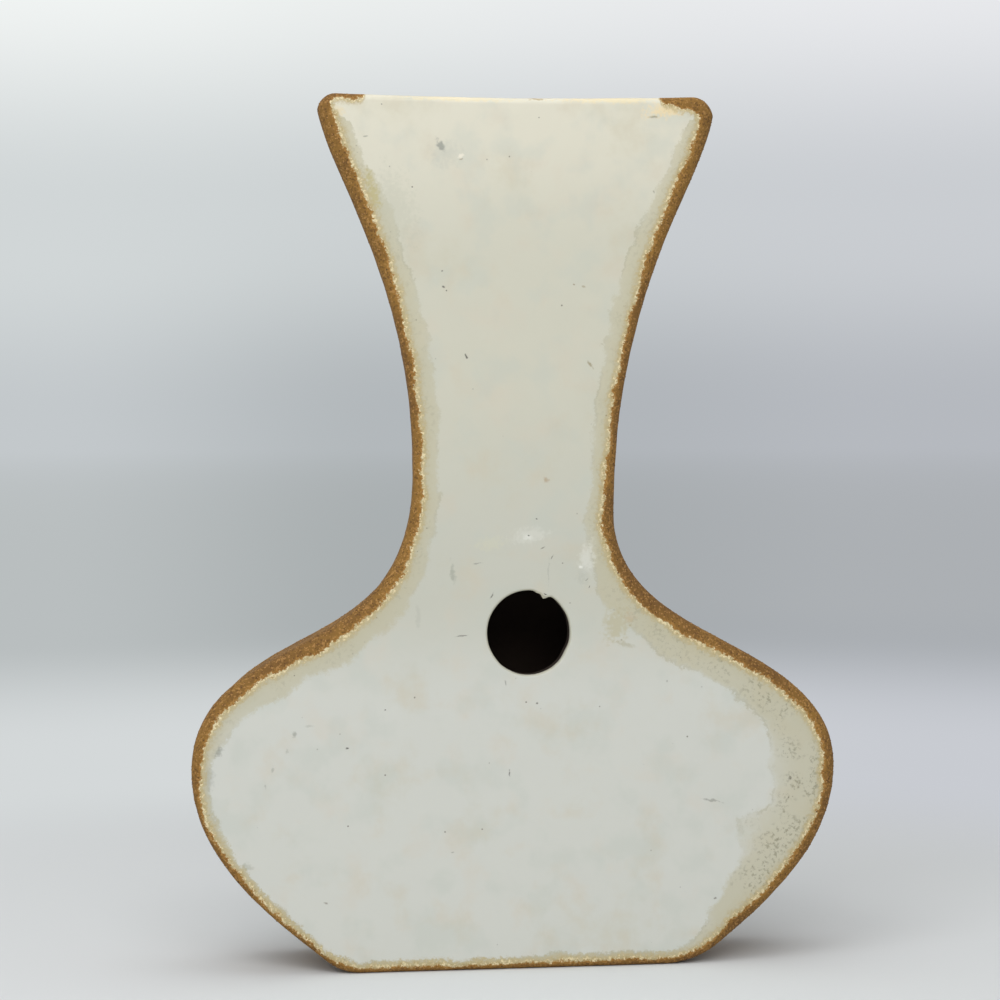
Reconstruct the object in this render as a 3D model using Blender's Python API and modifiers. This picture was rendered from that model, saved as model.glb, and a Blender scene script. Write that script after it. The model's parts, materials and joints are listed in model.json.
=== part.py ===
"""Slab-built stoneware wall pocket vase: a flat flask standing on its own narrow base.

Metres, +Z up. The wall side faces -Y and carries the hanging hole, the front faces +Y.
The origin lies under the middle of the outer box, on the surface that the vase stands on.
The vase is built from one rolled slab of clay: a flask-shaped back and front, a strip up
each side and a strip for the floor, with thin coils pressed into the inner seams.
"""
import math

import bmesh
import bpy
from mathutils import Matrix, Vector
from mathutils.geometry import interpolate_bezier

# Outer size
HEIGHT = 0.305
DEPTH = 0.052
BODY_WIDTH = 0.2275
BODY_HEIGHT = 0.069
WAIST_WIDTH = 0.0708
MOUTH_WIDTH = 0.141
BASE_WIDTH = 0.126

# Angles at which the side leaves the floor and reaches the mouth
BASE_SPREAD = math.radians(40.0)
MOUTH_FLARE = math.radians(2.0)

# Fullness of the side's curves, as shares of the height that each one climbs
LOWER_SIDE_FULLNESS = 0.30
BELLY_FULLNESS = 0.465
SHOULDER_FULLNESS = 0.525
MOUTH_STRAIGHTNESS = 0.19

# Where the two sides of the hand-cut outline differ, left and right as seen from the back
LEFT_BASE_INNER_CORNER = 0.010
LEFT_WAIST_HEIGHT = 0.173
LEFT_WAIST_HOLLOW = 0.68
LEFT_NECK_HOLLOW = 0.54
RIGHT_BASE_INNER_CORNER = 0.0235
RIGHT_WAIST_HEIGHT = 0.160
RIGHT_WAIST_HOLLOW = 0.54
RIGHT_NECK_HOLLOW = 0.60

# Clay: one slab thickness throughout, and how the hand has worked it
SLAB = 0.0065
FRONT_CROWN = 0.005
WALL_LEAN = 0.005
HAND_SWAY = 0.0009
MOUTH_CORNER = 0.0053
SEAM_GAP = 0.0003

# Rounded edges
SIDE_ROUND = 0.0055
LOWER_ROUND = 0.0028
RIM_ROUND = 0.0022
ROUND_BLEND = 0.040

# Largest shares of the slab's thickness that a side round and a rim round take
SIDE_ROUND_SHARE = 0.85
RIM_ROUND_SHARE = 0.4

# Hanging hole
HOLE_DIAMETER = 0.029
HOLE_OFFSET = 0.0036
HOLE_HEIGHT = 0.118
HOLE_LIP = 0.0010
CUT_MARGIN = 0.002

# Floor strip and inner seams
FLOOR_JOINT_INSET = 0.010
COIL_DIAMETER = 0.007
COIL_BELOW_RIM = 0.030

# Fineness of the curves
SIDE_STEPS = 12
SHOULDER_STEPS = 26
NECK_STEPS = 16
CORNER_STEPS = 5
CROWN_COLUMNS = 14
CROWN_ROWS = 16
ROUND_SEGMENTS = 3
HOLE_STEPS = 48
LIP_STEPS = 3
COIL_RESOLUTION = 2
WELD_DISTANCE = 0.00001
CRISP_ANGLE = math.radians(40.0)

# Depths at which the slabs meet the strips between them
BACK_FACE = -DEPTH / 2
BACK_INNER = BACK_FACE + SLAB
FRONT_RIM = DEPTH / 2 - FRONT_CROWN
FRONT_INNER = FRONT_RIM - SLAB
STRIP_BACK = BACK_INNER + SEAM_GAP
STRIP_FRONT = FRONT_INNER - SEAM_GAP
STRIP_DEPTH = STRIP_FRONT - STRIP_BACK
STRIP_MIDDLE = (STRIP_FRONT + STRIP_BACK) / 2

# Turns of the outline at the floor and at the mouth, and fillets kept within the slab
LARGEST_BASE_CORNER = max(LEFT_BASE_INNER_CORNER, RIGHT_BASE_INNER_CORNER) + SLAB
LARGEST_BASE_SETBACK = LARGEST_BASE_CORNER * math.tan(BASE_SPREAD / 2)
MOUTH_TURN = math.pi / 2 + MOUTH_FLARE
MOUTH_RADIUS = min(MOUTH_CORNER, SIDE_ROUND_SHARE * SLAB / math.tan(MOUTH_TURN / 2))
MOUTH_SETBACK = MOUTH_RADIUS * math.tan(MOUTH_TURN / 2)
LARGEST_ROUND = min(SIDE_ROUND, SIDE_ROUND_SHARE * SLAB)
SMALL_RIM_ROUND = min(RIM_ROUND, RIM_ROUND_SHARE * SLAB)

# Half the length of the floor strip, where it butts against the side strips
FLOOR_JOINT = BASE_WIDTH / 2 - LARGEST_BASE_SETBACK - FLOOR_JOINT_INSET

UP = Vector((0.0, 1.0))
OUTWARDS = Vector((1.0, 0.0))


class Side:
    """One side of the outline: the way it lies along X, and the values that are its own."""

    def __init__(self, way, base_inner_corner, waist_height, waist_hollow, neck_hollow):
        self.way = way
        self.base_corner = base_inner_corner + SLAB
        self.base_setback = self.base_corner * math.tan(BASE_SPREAD / 2)
        self.waist_height = waist_height
        self.waist_hollow = waist_hollow
        self.neck_hollow = neck_hollow


LEFT = Side(-1, LEFT_BASE_INNER_CORNER, LEFT_WAIST_HEIGHT, LEFT_WAIST_HOLLOW, LEFT_NECK_HOLLOW)
RIGHT = Side(
    1, RIGHT_BASE_INNER_CORNER, RIGHT_WAIST_HEIGHT, RIGHT_WAIST_HOLLOW, RIGHT_NECK_HOLLOW)


def clear_scene():
    """Remove what the scene starts with."""
    for item in list(bpy.data.objects):
        bpy.data.objects.remove(item, do_unlink=True)


def new_collection(name):
    """A collection linked to the scene."""
    group = bpy.data.collections.new(name)
    bpy.context.scene.collection.children.link(group)
    return group


def clay_finish(name, colour, roughness):
    """A plain fired-clay or glaze finish."""
    material = bpy.data.materials.new(name)
    material.use_nodes = True
    shader = material.node_tree.nodes["Principled BSDF"]
    shader.inputs["Base Color"].default_value = (*colour, 1.0)
    shader.inputs["Roughness"].default_value = roughness
    shader.inputs["Metallic"].default_value = 0.0
    material.diffuse_color = (*colour, 1.0)
    return material


def sway(height):
    """How far the hand-cut outline wanders sideways at a height; none at the widest line."""
    turn = 2 * math.pi / HEIGHT
    return HAND_SWAY * (math.cos(turn * height) - math.cos(turn * BODY_HEIGHT))


def trim(points, length):
    """The points of a line without its first stretch of the given length."""
    walked = 0.0
    for index in range(1, len(points)):
        step = (points[index] - points[index - 1]).length
        if walked + step > length:
            cut = points[index - 1].lerp(points[index], (length - walked) / step)
            return [cut] + points[index:]
        walked += step
    return points[-1:]


def corner_arc(start, start_way, end, end_way, radius, turn):
    """Points of a round corner between two lines, both ends included."""
    reach = 4 / 3 * math.tan(turn / 4) * radius
    return interpolate_bezier(
        start, start + start_way * reach, end - end_way * reach, end, CORNER_STEPS + 1)


def side_line(side):
    """A side from the floor's corner to the mouth's, drawn to the right, both corners sharp."""
    spread = Vector((math.cos(BASE_SPREAD), math.sin(BASE_SPREAD)))
    flare = Vector((math.sin(MOUTH_FLARE), math.cos(MOUTH_FLARE)))
    corner = Vector((BASE_WIDTH / 2, 0.0))
    belly = Vector((BODY_WIDTH / 2, BODY_HEIGHT))
    waist = Vector((WAIST_WIDTH / 2, side.waist_height))
    mouth = Vector((MOUTH_WIDTH / 2, HEIGHT))
    shoulder_rise = side.waist_height - BODY_HEIGHT
    neck_rise = HEIGHT - side.waist_height
    lower = interpolate_bezier(
        corner, corner + spread * LOWER_SIDE_FULLNESS * BODY_HEIGHT,
        belly - UP * BELLY_FULLNESS * BODY_HEIGHT, belly, SIDE_STEPS + 1)
    shoulder = interpolate_bezier(
        belly, belly + UP * SHOULDER_FULLNESS * shoulder_rise,
        waist - UP * side.waist_hollow * shoulder_rise, waist, SHOULDER_STEPS + 1)
    neck = interpolate_bezier(
        waist, waist + UP * side.neck_hollow * neck_rise,
        mouth - flare * MOUTH_STRAIGHTNESS * neck_rise, mouth, NECK_STEPS + 1)
    return lower + shoulder[1:] + neck[1:]


def round_base(line, side):
    """The side line with its floor corner rounded, starting on the flat of the floor."""
    rest = trim(line, side.base_setback)
    start = Vector((BASE_WIDTH / 2 - side.base_setback, 0.0))
    way = (rest[1] - rest[0]).normalized()
    arc = corner_arc(start, OUTWARDS, rest[0], way, side.base_corner, BASE_SPREAD)
    return arc + rest[1:]


def round_mouth(line):
    """The side line with its mouth corner rounded, ending on the flat of the rim."""
    rest = trim(line[::-1], MOUTH_SETBACK)[::-1]
    end = Vector((MOUTH_WIDTH / 2 - MOUTH_SETBACK, HEIGHT))
    way = (rest[-1] - rest[-2]).normalized()
    arc = corner_arc(rest[-1], way, end, -OUTWARDS, MOUTH_RADIUS, MOUTH_TURN)
    return rest[:-1] + arc


def half_outline(side):
    """Half of a flask-shaped slab's outline, from the foot to the rim, drawn to the right."""
    return round_mouth(round_base(side_line(side), side))


def inset_line(points, distance):
    """A line moved towards the inside of the vase by a distance square to itself."""
    ways = [(b - a).normalized() for a, b in zip(points, points[1:])]
    ways = [ways[0]] + ways + [ways[-1]]
    moved = []
    for point, before, after in zip(points, ways, ways[1:]):
        normal_after = Vector((-after.y, after.x))
        normal = (Vector((-before.y, before.x)) + normal_after).normalized()
        moved.append(point + normal * distance / normal.dot(normal_after))
    return moved


def clip_above(points, height):
    """The points of a rising line up to a height, ending exactly on it."""
    for index in range(1, len(points)):
        below, above = points[index - 1], points[index]
        if above.y >= height:
            share = (height - below.y) / (above.y - below.y)
            return points[:index] + [below.lerp(above, share)]
    return points


def wall_path(side):
    """The outer line of a strip, from the floor joint to the sharp mouth corner."""
    start = Vector((FLOOR_JOINT + SEAM_GAP / 2, 0.0))
    return [start] + round_base(side_line(side), side)


def placed(points, side, lean):
    """Points drawn to the right put on a side, leaned inwards and swayed."""
    return [Vector((side.way * (p.x - lean) + sway(p.y), p.y)) for p in points]


def welded_mesh(shape, name):
    """The evaluated mesh of an object, with doubles merged; the object is removed."""
    graph = bpy.context.evaluated_depsgraph_get()
    mesh = bpy.data.meshes.new_from_object(shape.evaluated_get(graph))
    mesh.name = name
    mesh.transform(shape.matrix_world)
    work = bmesh.new()
    work.from_mesh(mesh)
    bmesh.ops.remove_doubles(work, verts=work.verts, dist=WELD_DISTANCE)
    work.to_mesh(mesh)
    work.free()
    bpy.data.objects.remove(shape, do_unlink=True)
    return mesh


def slab_from_outline(name, points, thickness):
    """A closed outline drawn flat and given a thickness, centred on its own plane."""
    curve = bpy.data.curves.new(name + "_outline", "CURVE")
    curve.dimensions = "2D"
    curve.fill_mode = "BOTH"
    curve.extrude = thickness / 2
    spline = curve.splines.new("POLY")
    spline.points.add(len(points) - 1)
    for target, point in zip(spline.points, points):
        target.co = (point.x, point.y, 0.0, 1.0)
    spline.use_cyclic_u = True
    shape = bpy.data.objects.new(name + "_outline", curve)
    bpy.context.scene.collection.objects.link(shape)
    return welded_mesh(shape, name)


def upright(mesh):
    """Stand a slab that was drawn flat in the XZ plane."""
    mesh.transform(Matrix.Rotation(math.pi / 2, 4, "X"))
    return mesh


def add_piece(name, data, place, group, parent, material):
    """One named piece of the vase, placed and hung on the parent empty."""
    data.materials.clear()
    data.materials.append(material)
    piece = bpy.data.objects.new(name, data)
    piece.location = place
    piece.parent = parent
    group.objects.link(piece)
    return piece


def shade_round(piece):
    """Smooth shading that stays crisp at real edges and flat on large faces."""
    piece.data.shade_smooth()
    piece.data.set_sharp_from_angle(angle=CRISP_ANGLE)
    normals = piece.modifiers.new("weighted_normals", "WEIGHTED_NORMAL")
    normals.keep_sharp = True


def outer_round(height):
    """Radius of a slab's outer edge: small low down, full at the shoulder, small at the rim."""
    low = (height - BODY_HEIGHT) / ROUND_BLEND + 0.5
    radius = LOWER_ROUND + (LARGEST_ROUND - LOWER_ROUND) * min(max(low, 0.0), 1.0)
    high = 1 + (height - HEIGHT + MOUTH_SETBACK) / ROUND_BLEND
    return radius + (SMALL_RIM_ROUND - radius) * min(max(high, 0.0), 1.0)


def inner_round(height):
    """Radius of a slab's inner edge, which is rounded along the rim only."""
    return SMALL_RIM_ROUND if height > HEIGHT - SEAM_GAP else 0.0


def loop_normals(loop):
    """Unit directions towards the inside of a closed loop, one at each of its points."""
    normals = []
    for before, point, after in zip(loop[-1:] + loop[:-1], loop, loop[1:] + loop[:1]):
        way = (point - before).normalized() + (after - point).normalized()
        normals.append(Vector((-way.y, way.x)).normalized())
    return normals


def slab_rings(loop):
    """Rings of points over a slab's edge, from its inner face round to its outer face.

    Each point is drawn in from the outline and down from the nearer face along a quarter
    circle, whose radius changes with the height. The slab lies between depths 0 and SLAB.
    """
    normals = loop_normals(loop)
    rings = []
    for step in range(2 * ROUND_SEGMENTS + 2):
        outside = step > ROUND_SEGMENTS
        share = (step - ROUND_SEGMENTS - 1 if outside else ROUND_SEGMENTS - step) / ROUND_SEGMENTS
        inset = 1 - math.cos(share * math.pi / 2)
        sink = 1 - math.sin(share * math.pi / 2)
        ring = []
        for point, normal in zip(loop, normals):
            radius = outer_round(point.y) if outside else inner_round(point.y)
            moved = point + normal * radius * inset
            depth = SLAB - radius * sink if outside else radius * sink
            ring.append(Vector((moved.x, depth, moved.y)))
        rings.append(ring)
    return rings


def rounded_slab(name, lean, outer_way):
    """A flask-shaped slab with rounded edges, its inner face on the XZ plane."""
    loop = placed(half_outline(RIGHT), RIGHT, lean) + placed(half_outline(LEFT), LEFT, lean)[::-1]
    work = bmesh.new()
    rows = []
    for ring in slab_rings(loop):
        rows.append([work.verts.new((p.x, outer_way * p.y, p.z)) for p in ring])
    for lower, upper in zip(rows, rows[1:]):
        for a, b, c, d in zip(lower, lower[1:] + lower[:1], upper[1:] + upper[:1], upper):
            work.faces.new((a, b, c, d))
    work.faces.new(rows[0])
    work.faces.new(rows[-1])
    bmesh.ops.remove_doubles(work, verts=work.verts, dist=WELD_DISTANCE)
    bmesh.ops.recalc_face_normals(work, faces=work.faces)
    mesh = bpy.data.meshes.new(name)
    work.to_mesh(mesh)
    work.free()
    return mesh


def hole_plug(cutters):
    """A turned plug with a flared end, which leaves the hanging hole its soft outer lip."""
    radius = HOLE_DIAMETER / 2
    profile = [(0.0, CUT_MARGIN), (radius + HOLE_LIP, CUT_MARGIN)]
    for step in range(LIP_STEPS + 1):
        angle = math.pi / 2 * (1 + step / LIP_STEPS)
        profile.append((radius + HOLE_LIP * (1 + math.cos(angle)),
                        HOLE_LIP * (math.sin(angle) - 1)))
    profile += [(radius, -SLAB - CUT_MARGIN), (0.0, -SLAB - CUT_MARGIN)]
    mesh = bpy.data.meshes.new("hanging_hole_plug")
    edges = [(index, index + 1) for index in range(len(profile) - 1)]
    mesh.from_pydata([(x, 0.0, z) for x, z in profile], edges, [])
    plug = bpy.data.objects.new("hanging_hole_plug", mesh)
    screw = plug.modifiers.new("turned", "SCREW")
    screw.axis = "Z"
    screw.steps = HOLE_STEPS
    screw.render_steps = HOLE_STEPS
    screw.use_merge_vertices = True
    screw.merge_threshold = WELD_DISTANCE
    plug.rotation_euler = (math.pi / 2, 0.0, 0.0)
    plug.location = (HOLE_OFFSET, BACK_FACE, HOLE_HEIGHT)
    plug.hide_render = True
    plug.display_type = "WIRE"
    cutters.objects.link(plug)
    return plug


def build_back_slab(group, cutters, parent, material):
    """The flat wall-side slab, with its rounded edge and the hanging hole."""
    mesh = rounded_slab("back_slab", 0.0, -1)
    place = (0.0, BACK_INNER, 0.0)
    piece = add_piece("back_slab", mesh, place, group, parent, material)
    cut = piece.modifiers.new("hanging_hole", "BOOLEAN")
    cut.operation = "DIFFERENCE"
    cut.solver = "EXACT"
    cut.object = hole_plug(cutters)
    shade_round(piece)


def half_width_at(height, line):
    """Half the width of a slab at a height, read from its rising half outline."""
    for below, above in zip(line, line[1:]):
        if above.y >= height:
            rise = above.y - below.y
            share = (height - below.y) / rise if rise > 0 else 1.0
            return below.lerp(above, share).x
    return line[-1].x


def crown(x, height, half_width):
    """How far the front slab bows out at a point: not at all along its sides and its foot."""
    across = 1 - min(abs(x) / half_width, 1.0) ** 2
    breadth = half_width / (BODY_WIDTH / 2 - WALL_LEAN)
    climb = min(height / BODY_HEIGHT, 1.0)
    return FRONT_CROWN * across * breadth * (1 - (1 - climb) ** 2)


def bow_out(mesh):
    """Divide a flat slab by level and upright cuts, then bow it out towards the front."""
    work = bmesh.new()
    work.from_mesh(mesh)
    cuts = [((0.0, 0.0, HEIGHT * row / CROWN_ROWS), (0.0, 0.0, 1.0)) for row in range(1, CROWN_ROWS)]
    cuts += [((BODY_WIDTH * (column / CROWN_COLUMNS - 0.5), 0.0, 0.0), (1.0, 0.0, 0.0))
             for column in range(1, CROWN_COLUMNS)]
    for point, normal in cuts:
        geometry = work.verts[:] + work.edges[:] + work.faces[:]
        bmesh.ops.bisect_plane(
            work, geom=geometry, dist=WELD_DISTANCE, plane_co=point, plane_no=normal)
    right_line, left_line = [
        [Vector((point.x - WALL_LEAN, point.y)) for point in half_outline(side)]
        for side in (RIGHT, LEFT)]
    for vert in work.verts:
        x, _, height = vert.co
        across = x - sway(height)
        line = right_line if across > 0 else left_line
        vert.co.y += crown(across, height, half_width_at(height, line))
    work.to_mesh(mesh)
    work.free()


def build_front_slab(group, parent, material):
    """The gently bowed front slab, narrower than the back by the lean of the walls."""
    mesh = rounded_slab("front_slab", WALL_LEAN, 1)
    bow_out(mesh)
    place = (0.0, FRONT_INNER, 0.0)
    shade_round(add_piece("front_slab", mesh, place, group, parent, material))


def build_wall(name, side, group, parent, material):
    """One side strip, from the floor joint round the belly and up to the mouth."""
    path = wall_path(side)
    inner = clip_above(inset_line(path, SLAB), HEIGHT)
    points = placed(round_mouth(path) + inner[::-1], side, 0.0)
    mesh = upright(slab_from_outline(name, points, STRIP_DEPTH))
    lean = Matrix.Identity(4)
    lean[0][1] = -side.way * WALL_LEAN / STRIP_DEPTH
    lean[0][3] = -side.way * WALL_LEAN / 2
    mesh.transform(lean)
    place = (0.0, STRIP_MIDDLE, 0.0)
    shade_round(add_piece(name, mesh, place, group, parent, material))


def build_floor(group, parent, material):
    """The floor strip, narrowing to the front as the walls lean in."""
    back_half = FLOOR_JOINT - SEAM_GAP / 2
    front_half = back_half - WALL_LEAN
    reach = STRIP_DEPTH / 2
    corners = [(-back_half, -reach), (back_half, -reach), (front_half, reach), (-front_half, reach)]
    mesh = slab_from_outline("base_slab", [Vector(corner) for corner in corners], SLAB)
    place = (sway(0.0), STRIP_MIDDLE, SLAB / 2)
    add_piece("base_slab", mesh, place, group, parent, material)


def coil(name, points, group, parent, material):
    """A thin coil of clay along a line."""
    curve = bpy.data.curves.new(name, "CURVE")
    curve.dimensions = "3D"
    curve.bevel_depth = COIL_DIAMETER / 2
    curve.bevel_resolution = COIL_RESOLUTION
    curve.use_fill_caps = True
    spline = curve.splines.new("POLY")
    spline.points.add(len(points) - 1)
    for target, point in zip(spline.points, points):
        target.co = (*point, 1.0)
    add_piece(name, curve, (0.0, 0.0, 0.0), group, parent, material)


def wall_lean(depth_place):
    """How far the walls have leaned inwards at a depth."""
    return WALL_LEAN * (depth_place - STRIP_BACK) / STRIP_DEPTH


def build_coils(group, parent, material):
    """The coils in the seams that a hand can reach before the front slab closes the vase."""
    reach = SEAM_GAP + COIL_DIAMETER / 2
    back_place = BACK_INNER + reach
    level = SLAB + reach
    for name, side in (("back_right_coil", RIGHT), ("back_left_coil", LEFT)):
        path = inset_line(wall_path(side), level)
        line = clip_above(path, HEIGHT - COIL_BELOW_RIM)
        points = [(p.x, back_place, p.y) for p in placed(line, side, wall_lean(back_place))]
        coil(name, points, group, parent, material)
    half = FLOOR_JOINT - SEAM_GAP / 2 - wall_lean(back_place)
    points = [(sway(0.0) + side.way * half, back_place, level) for side in (LEFT, RIGHT)]
    coil("base_back_coil", points, group, parent, material)
    # The end of a leaning coil reaches past its middle line by the slant
    slant = COIL_DIAMETER / 2 * WALL_LEAN / STRIP_DEPTH
    for name, side in (("base_right_coil", RIGHT), ("base_left_coil", LEFT)):
        points = []
        for y in (back_place + reach + slant, STRIP_FRONT - slant):
            points.append((sway(0.0) + side.way * (FLOOR_JOINT - wall_lean(y)), y, level))
        coil(name, points, group, parent, material)


def build():
    """Make the whole vase."""
    clear_scene()
    group = new_collection("wall_pocket_vase")
    cutters = new_collection("cutters")
    origin = bpy.data.objects.new("vase_origin", None)
    group.objects.link(origin)
    glaze = clay_finish("cream_matt_glaze", (0.60, 0.61, 0.54), 0.40)
    front_glaze = clay_finish("cream_matt_front_glaze", (0.61, 0.61, 0.54), 0.40)
    clay = clay_finish("brown_grogged_stoneware", (0.23, 0.13, 0.05), 0.85)
    floor_clay = clay_finish("brown_floor_stoneware", (0.21, 0.12, 0.05), 0.88)
    coil_clay = clay_finish("brown_seam_stoneware", (0.20, 0.11, 0.045), 0.88)
    build_back_slab(group, cutters, origin, glaze)
    build_front_slab(group, origin, front_glaze)
    build_wall("right_wall", RIGHT, group, origin, clay)
    build_wall("left_wall", LEFT, group, origin, clay)
    build_floor(group, origin, floor_clay)
    build_coils(group, origin, coil_clay)


build()
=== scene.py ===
"""Dressing of a slab-built stoneware wall pocket vase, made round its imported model.

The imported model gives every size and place. The slabs, strips and coils of clay are remade
with the uneven surface of hand work, and get the glaze or the bare clay of the real one.
Metres, +Z up, the wall side towards -Y. Left and right are as seen from the wall side.
"""

import json
import math

import bmesh
import bpy
import numpy as np
from bpy.props import FloatProperty, FloatVectorProperty, IntProperty, PointerProperty
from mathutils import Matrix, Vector, noise
from mathutils.geometry import delaunay_2d_cdt
from mathutils.kdtree import KDTree


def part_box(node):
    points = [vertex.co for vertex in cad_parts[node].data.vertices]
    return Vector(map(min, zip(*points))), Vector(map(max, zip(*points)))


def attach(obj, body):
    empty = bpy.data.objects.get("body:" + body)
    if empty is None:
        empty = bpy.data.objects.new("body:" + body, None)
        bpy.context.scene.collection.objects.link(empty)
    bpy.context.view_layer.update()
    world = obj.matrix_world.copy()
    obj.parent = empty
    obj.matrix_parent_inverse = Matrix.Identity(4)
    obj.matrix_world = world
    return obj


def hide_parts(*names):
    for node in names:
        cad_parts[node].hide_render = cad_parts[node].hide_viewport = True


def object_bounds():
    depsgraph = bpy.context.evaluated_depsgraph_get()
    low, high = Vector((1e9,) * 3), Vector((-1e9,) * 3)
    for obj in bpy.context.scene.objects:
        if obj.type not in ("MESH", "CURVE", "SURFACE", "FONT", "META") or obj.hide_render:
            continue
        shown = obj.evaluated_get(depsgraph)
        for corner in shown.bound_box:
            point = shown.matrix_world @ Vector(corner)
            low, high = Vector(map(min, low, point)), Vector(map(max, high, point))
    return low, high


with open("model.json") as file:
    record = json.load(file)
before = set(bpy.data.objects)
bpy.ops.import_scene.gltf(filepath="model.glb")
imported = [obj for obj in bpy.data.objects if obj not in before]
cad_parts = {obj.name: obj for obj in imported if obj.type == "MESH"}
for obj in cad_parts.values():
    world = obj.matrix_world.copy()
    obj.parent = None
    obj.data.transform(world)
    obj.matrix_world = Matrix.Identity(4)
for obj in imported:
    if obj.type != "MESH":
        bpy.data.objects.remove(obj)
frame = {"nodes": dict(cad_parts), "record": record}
CAD_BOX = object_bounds()

bl_info = {
    "name": "Slab-built wall pocket vase",
    "version": (1, 0, 0),
    "blender": (4, 5, 0),
    "location": "View3D > Sidebar > Wall pocket",
    "description": "Dresses the packed model of a stoneware wall pocket vase",
    "category": "Object",
}

MM = 0.001
LEFT = -1
RIGHT = 1

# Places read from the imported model
BACK_LOW, BACK_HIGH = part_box("back_slab")
FRONT_LOW, FRONT_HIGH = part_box("front_slab")
WALL_LOW, WALL_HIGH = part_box("right_wall")
SLAB = BACK_HIGH.y - BACK_LOW.y
TALL = BACK_HIGH.z
HALF_WIDE = BACK_HIGH.x
WALL_LEAN = BACK_HIGH.x - FRONT_HIGH.x
FRONT_BOW = FRONT_HIGH.y - FRONT_LOW.y - SLAB
HOLE_PLACE = Vector(next(
    mount["pos_m"] for mount in frame["record"]["mounts"] if mount["name"] == "hanging_hole"))

# Along the outline of a slab, as pairs of a height and a width, both in millimetres:
# how wide the bare clay shows at the edge, and the thin glaze next to it
BARE_LEFT = ((0, 2.0), (11, 1.7), (33, 2.2), (44, 2.4), (54, 1.8), (68, 2.4), (83, 3.6),
             (97, 3.8), (107, 3.9), (117, 4.6), (131, 4.2), (144, 3.4), (165, 2.8), (206, 2.6),
             (226, 2.8), (248, 3.8), (268, 4.3), (286, 4.2), (300, 5.2))
BARE_RIGHT = ((0, 2.4), (11, 4.2), (22, 3.9), (44, 4.1), (68, 4.5), (83, 4.2), (97, 4.4),
              (107, 4.1), (117, 4.8), (131, 4.9), (144, 4.9), (165, 4.5), (180, 3.5),
              (206, 3.2), (243, 4.1), (268, 4.4), (290, 4.6), (300, 5.6))
THIN_LEFT = ((0, 2.0), (30, 2.5), (60, 3.5), (80, 5.0), (95, 7.0), (112, 8.5), (130, 8.0),
             (165, 6.5), (220, 7.0), (260, 6.5), (300, 4.0))
THIN_RIGHT = ((0, 3.0), (14, 10.0), (28, 19.0), (50, 21.0), (74, 21.0), (95, 15.0),
              (112, 11.0), (135, 9.0), (165, 5.0), (220, 7.0), (262, 6.5), (300, 3.5))

# The rim is bare towards both corners, as pairs of a place across and a width, and glazed
# over between the two places named here, where its bare width is given as less than none
RIM_BARE = ((-66, 3.2), (-60, 2.1), (-55, 1.5), (-52, 1.0), (48, 0.6), (54, 2.3), (60, 4.4),
            (66, 6.0))
RIM_GLAZE_FROM = -51.3 * MM
RIM_GLAZE_TO = 48.7 * MM
GLAZED_OVER = -20.0

# The rim sags between these two sides of its middle, and this far down
RIM_HALF = 64 * MM
RIM_SAGS = 3 * MM

# Distances from the edge, in millimetres, given to the glaze round the hole and, longer than
# any that the face has, to where the painted shade on the rounded lip begins and to the lip
# itself
LIP_GLAZE = 90.0
LIP_SHADE_FROM = 140.0
LIP_SHADE = 200.0

# Distances in millimetres given to points past the glazed edge: on the slab's inner face and
# on the wall of the hole, where the bare clay and the thin glaze have their own widths; and to
# how deep inside a point lies that is outside
INNER_FACE = -5.0
HOLE_WALL = -4.0
HOLE_WIDTHS = (3.0, 3.0)
OUTSIDE = -5.0

# What the cutter left round the hole: how far it stands in, in millimetres, at which angle
# and over how many degrees
HOLE_BURRS = ((1.9, 66, 5.5), (0.7, 77, 5.0), (0.25, 333, 9.0))

# Which way a slab's outer face looks, along Y
TO_WALL = -1
TO_ROOM = 1

# The foot keeps its packed line up to this height
FOOT_KEPT = 0.3 * MM

# The bare edge of a slab is rounded by at least this, and by at most this share of the slab
LEAST_ROUND = 2.4 * MM
MOST_ROUND = 0.85

# Points on a face keep this share of their pitch from its border, and this much more from the
# hole, where the burrs stand in. Points closer than the last of these are one.
BORDER_GAP = 0.6
BURR_ROOM = 1.2 * MM
SAME_PLACE = 1e-7

# How far grains of grog stay from the foot and the rim, and, in millimetres, from the border
# of the glaze and from a slab's inner face
GRIT_CLEAR = 0.6 * MM
GRIT_TO_GLAZE = 0.6
GRIT_TO_INNER = 0.8

# Spacing of the points round the end of a side wall, and how far it laps over both seams
STRIP_PITCH = 1.3 * MM
SEAM_LAP = 0.35 * MM

# Faces that meet at more than this angle keep a sharp edge
SHARP_FROM = math.radians(42)

# The camera, fitted to the photo: where it stands, its turn in degrees and its lens in
# millimetres; and the place at which the lamps are aimed
CAMERA_PLACE = Vector((-0.1172, -0.9181, 0.1945))
CAMERA_TURN = (90 - 1.92, 0.21, -7.09)
CAMERA_LENS = 93.18
LIT_PLACE = Vector((0.0, 0.0, 0.15))


def hex_colour(code):
    """Linear red, green and blue of an sRGB hex colour."""
    channels = [int(code[place:place + 2], 16) / 255 for place in (1, 3, 5)]
    return tuple(c / 12.92 if c <= 0.04045 else ((c + 0.055) / 1.055) ** 2.4 for c in channels)


def colour_setting(name, description, code):
    """A colour that a user can change."""
    return FloatVectorProperty(name=name, description=description, subtype="COLOR",
                               size=3, min=0.0, max=1.0, default=hex_colour(code))


def length_setting(name, description, default):
    """A length that a user can change."""
    return FloatProperty(name=name, description=description, subtype="DISTANCE",
                         unit="LENGTH", precision=5, default=default)


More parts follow.
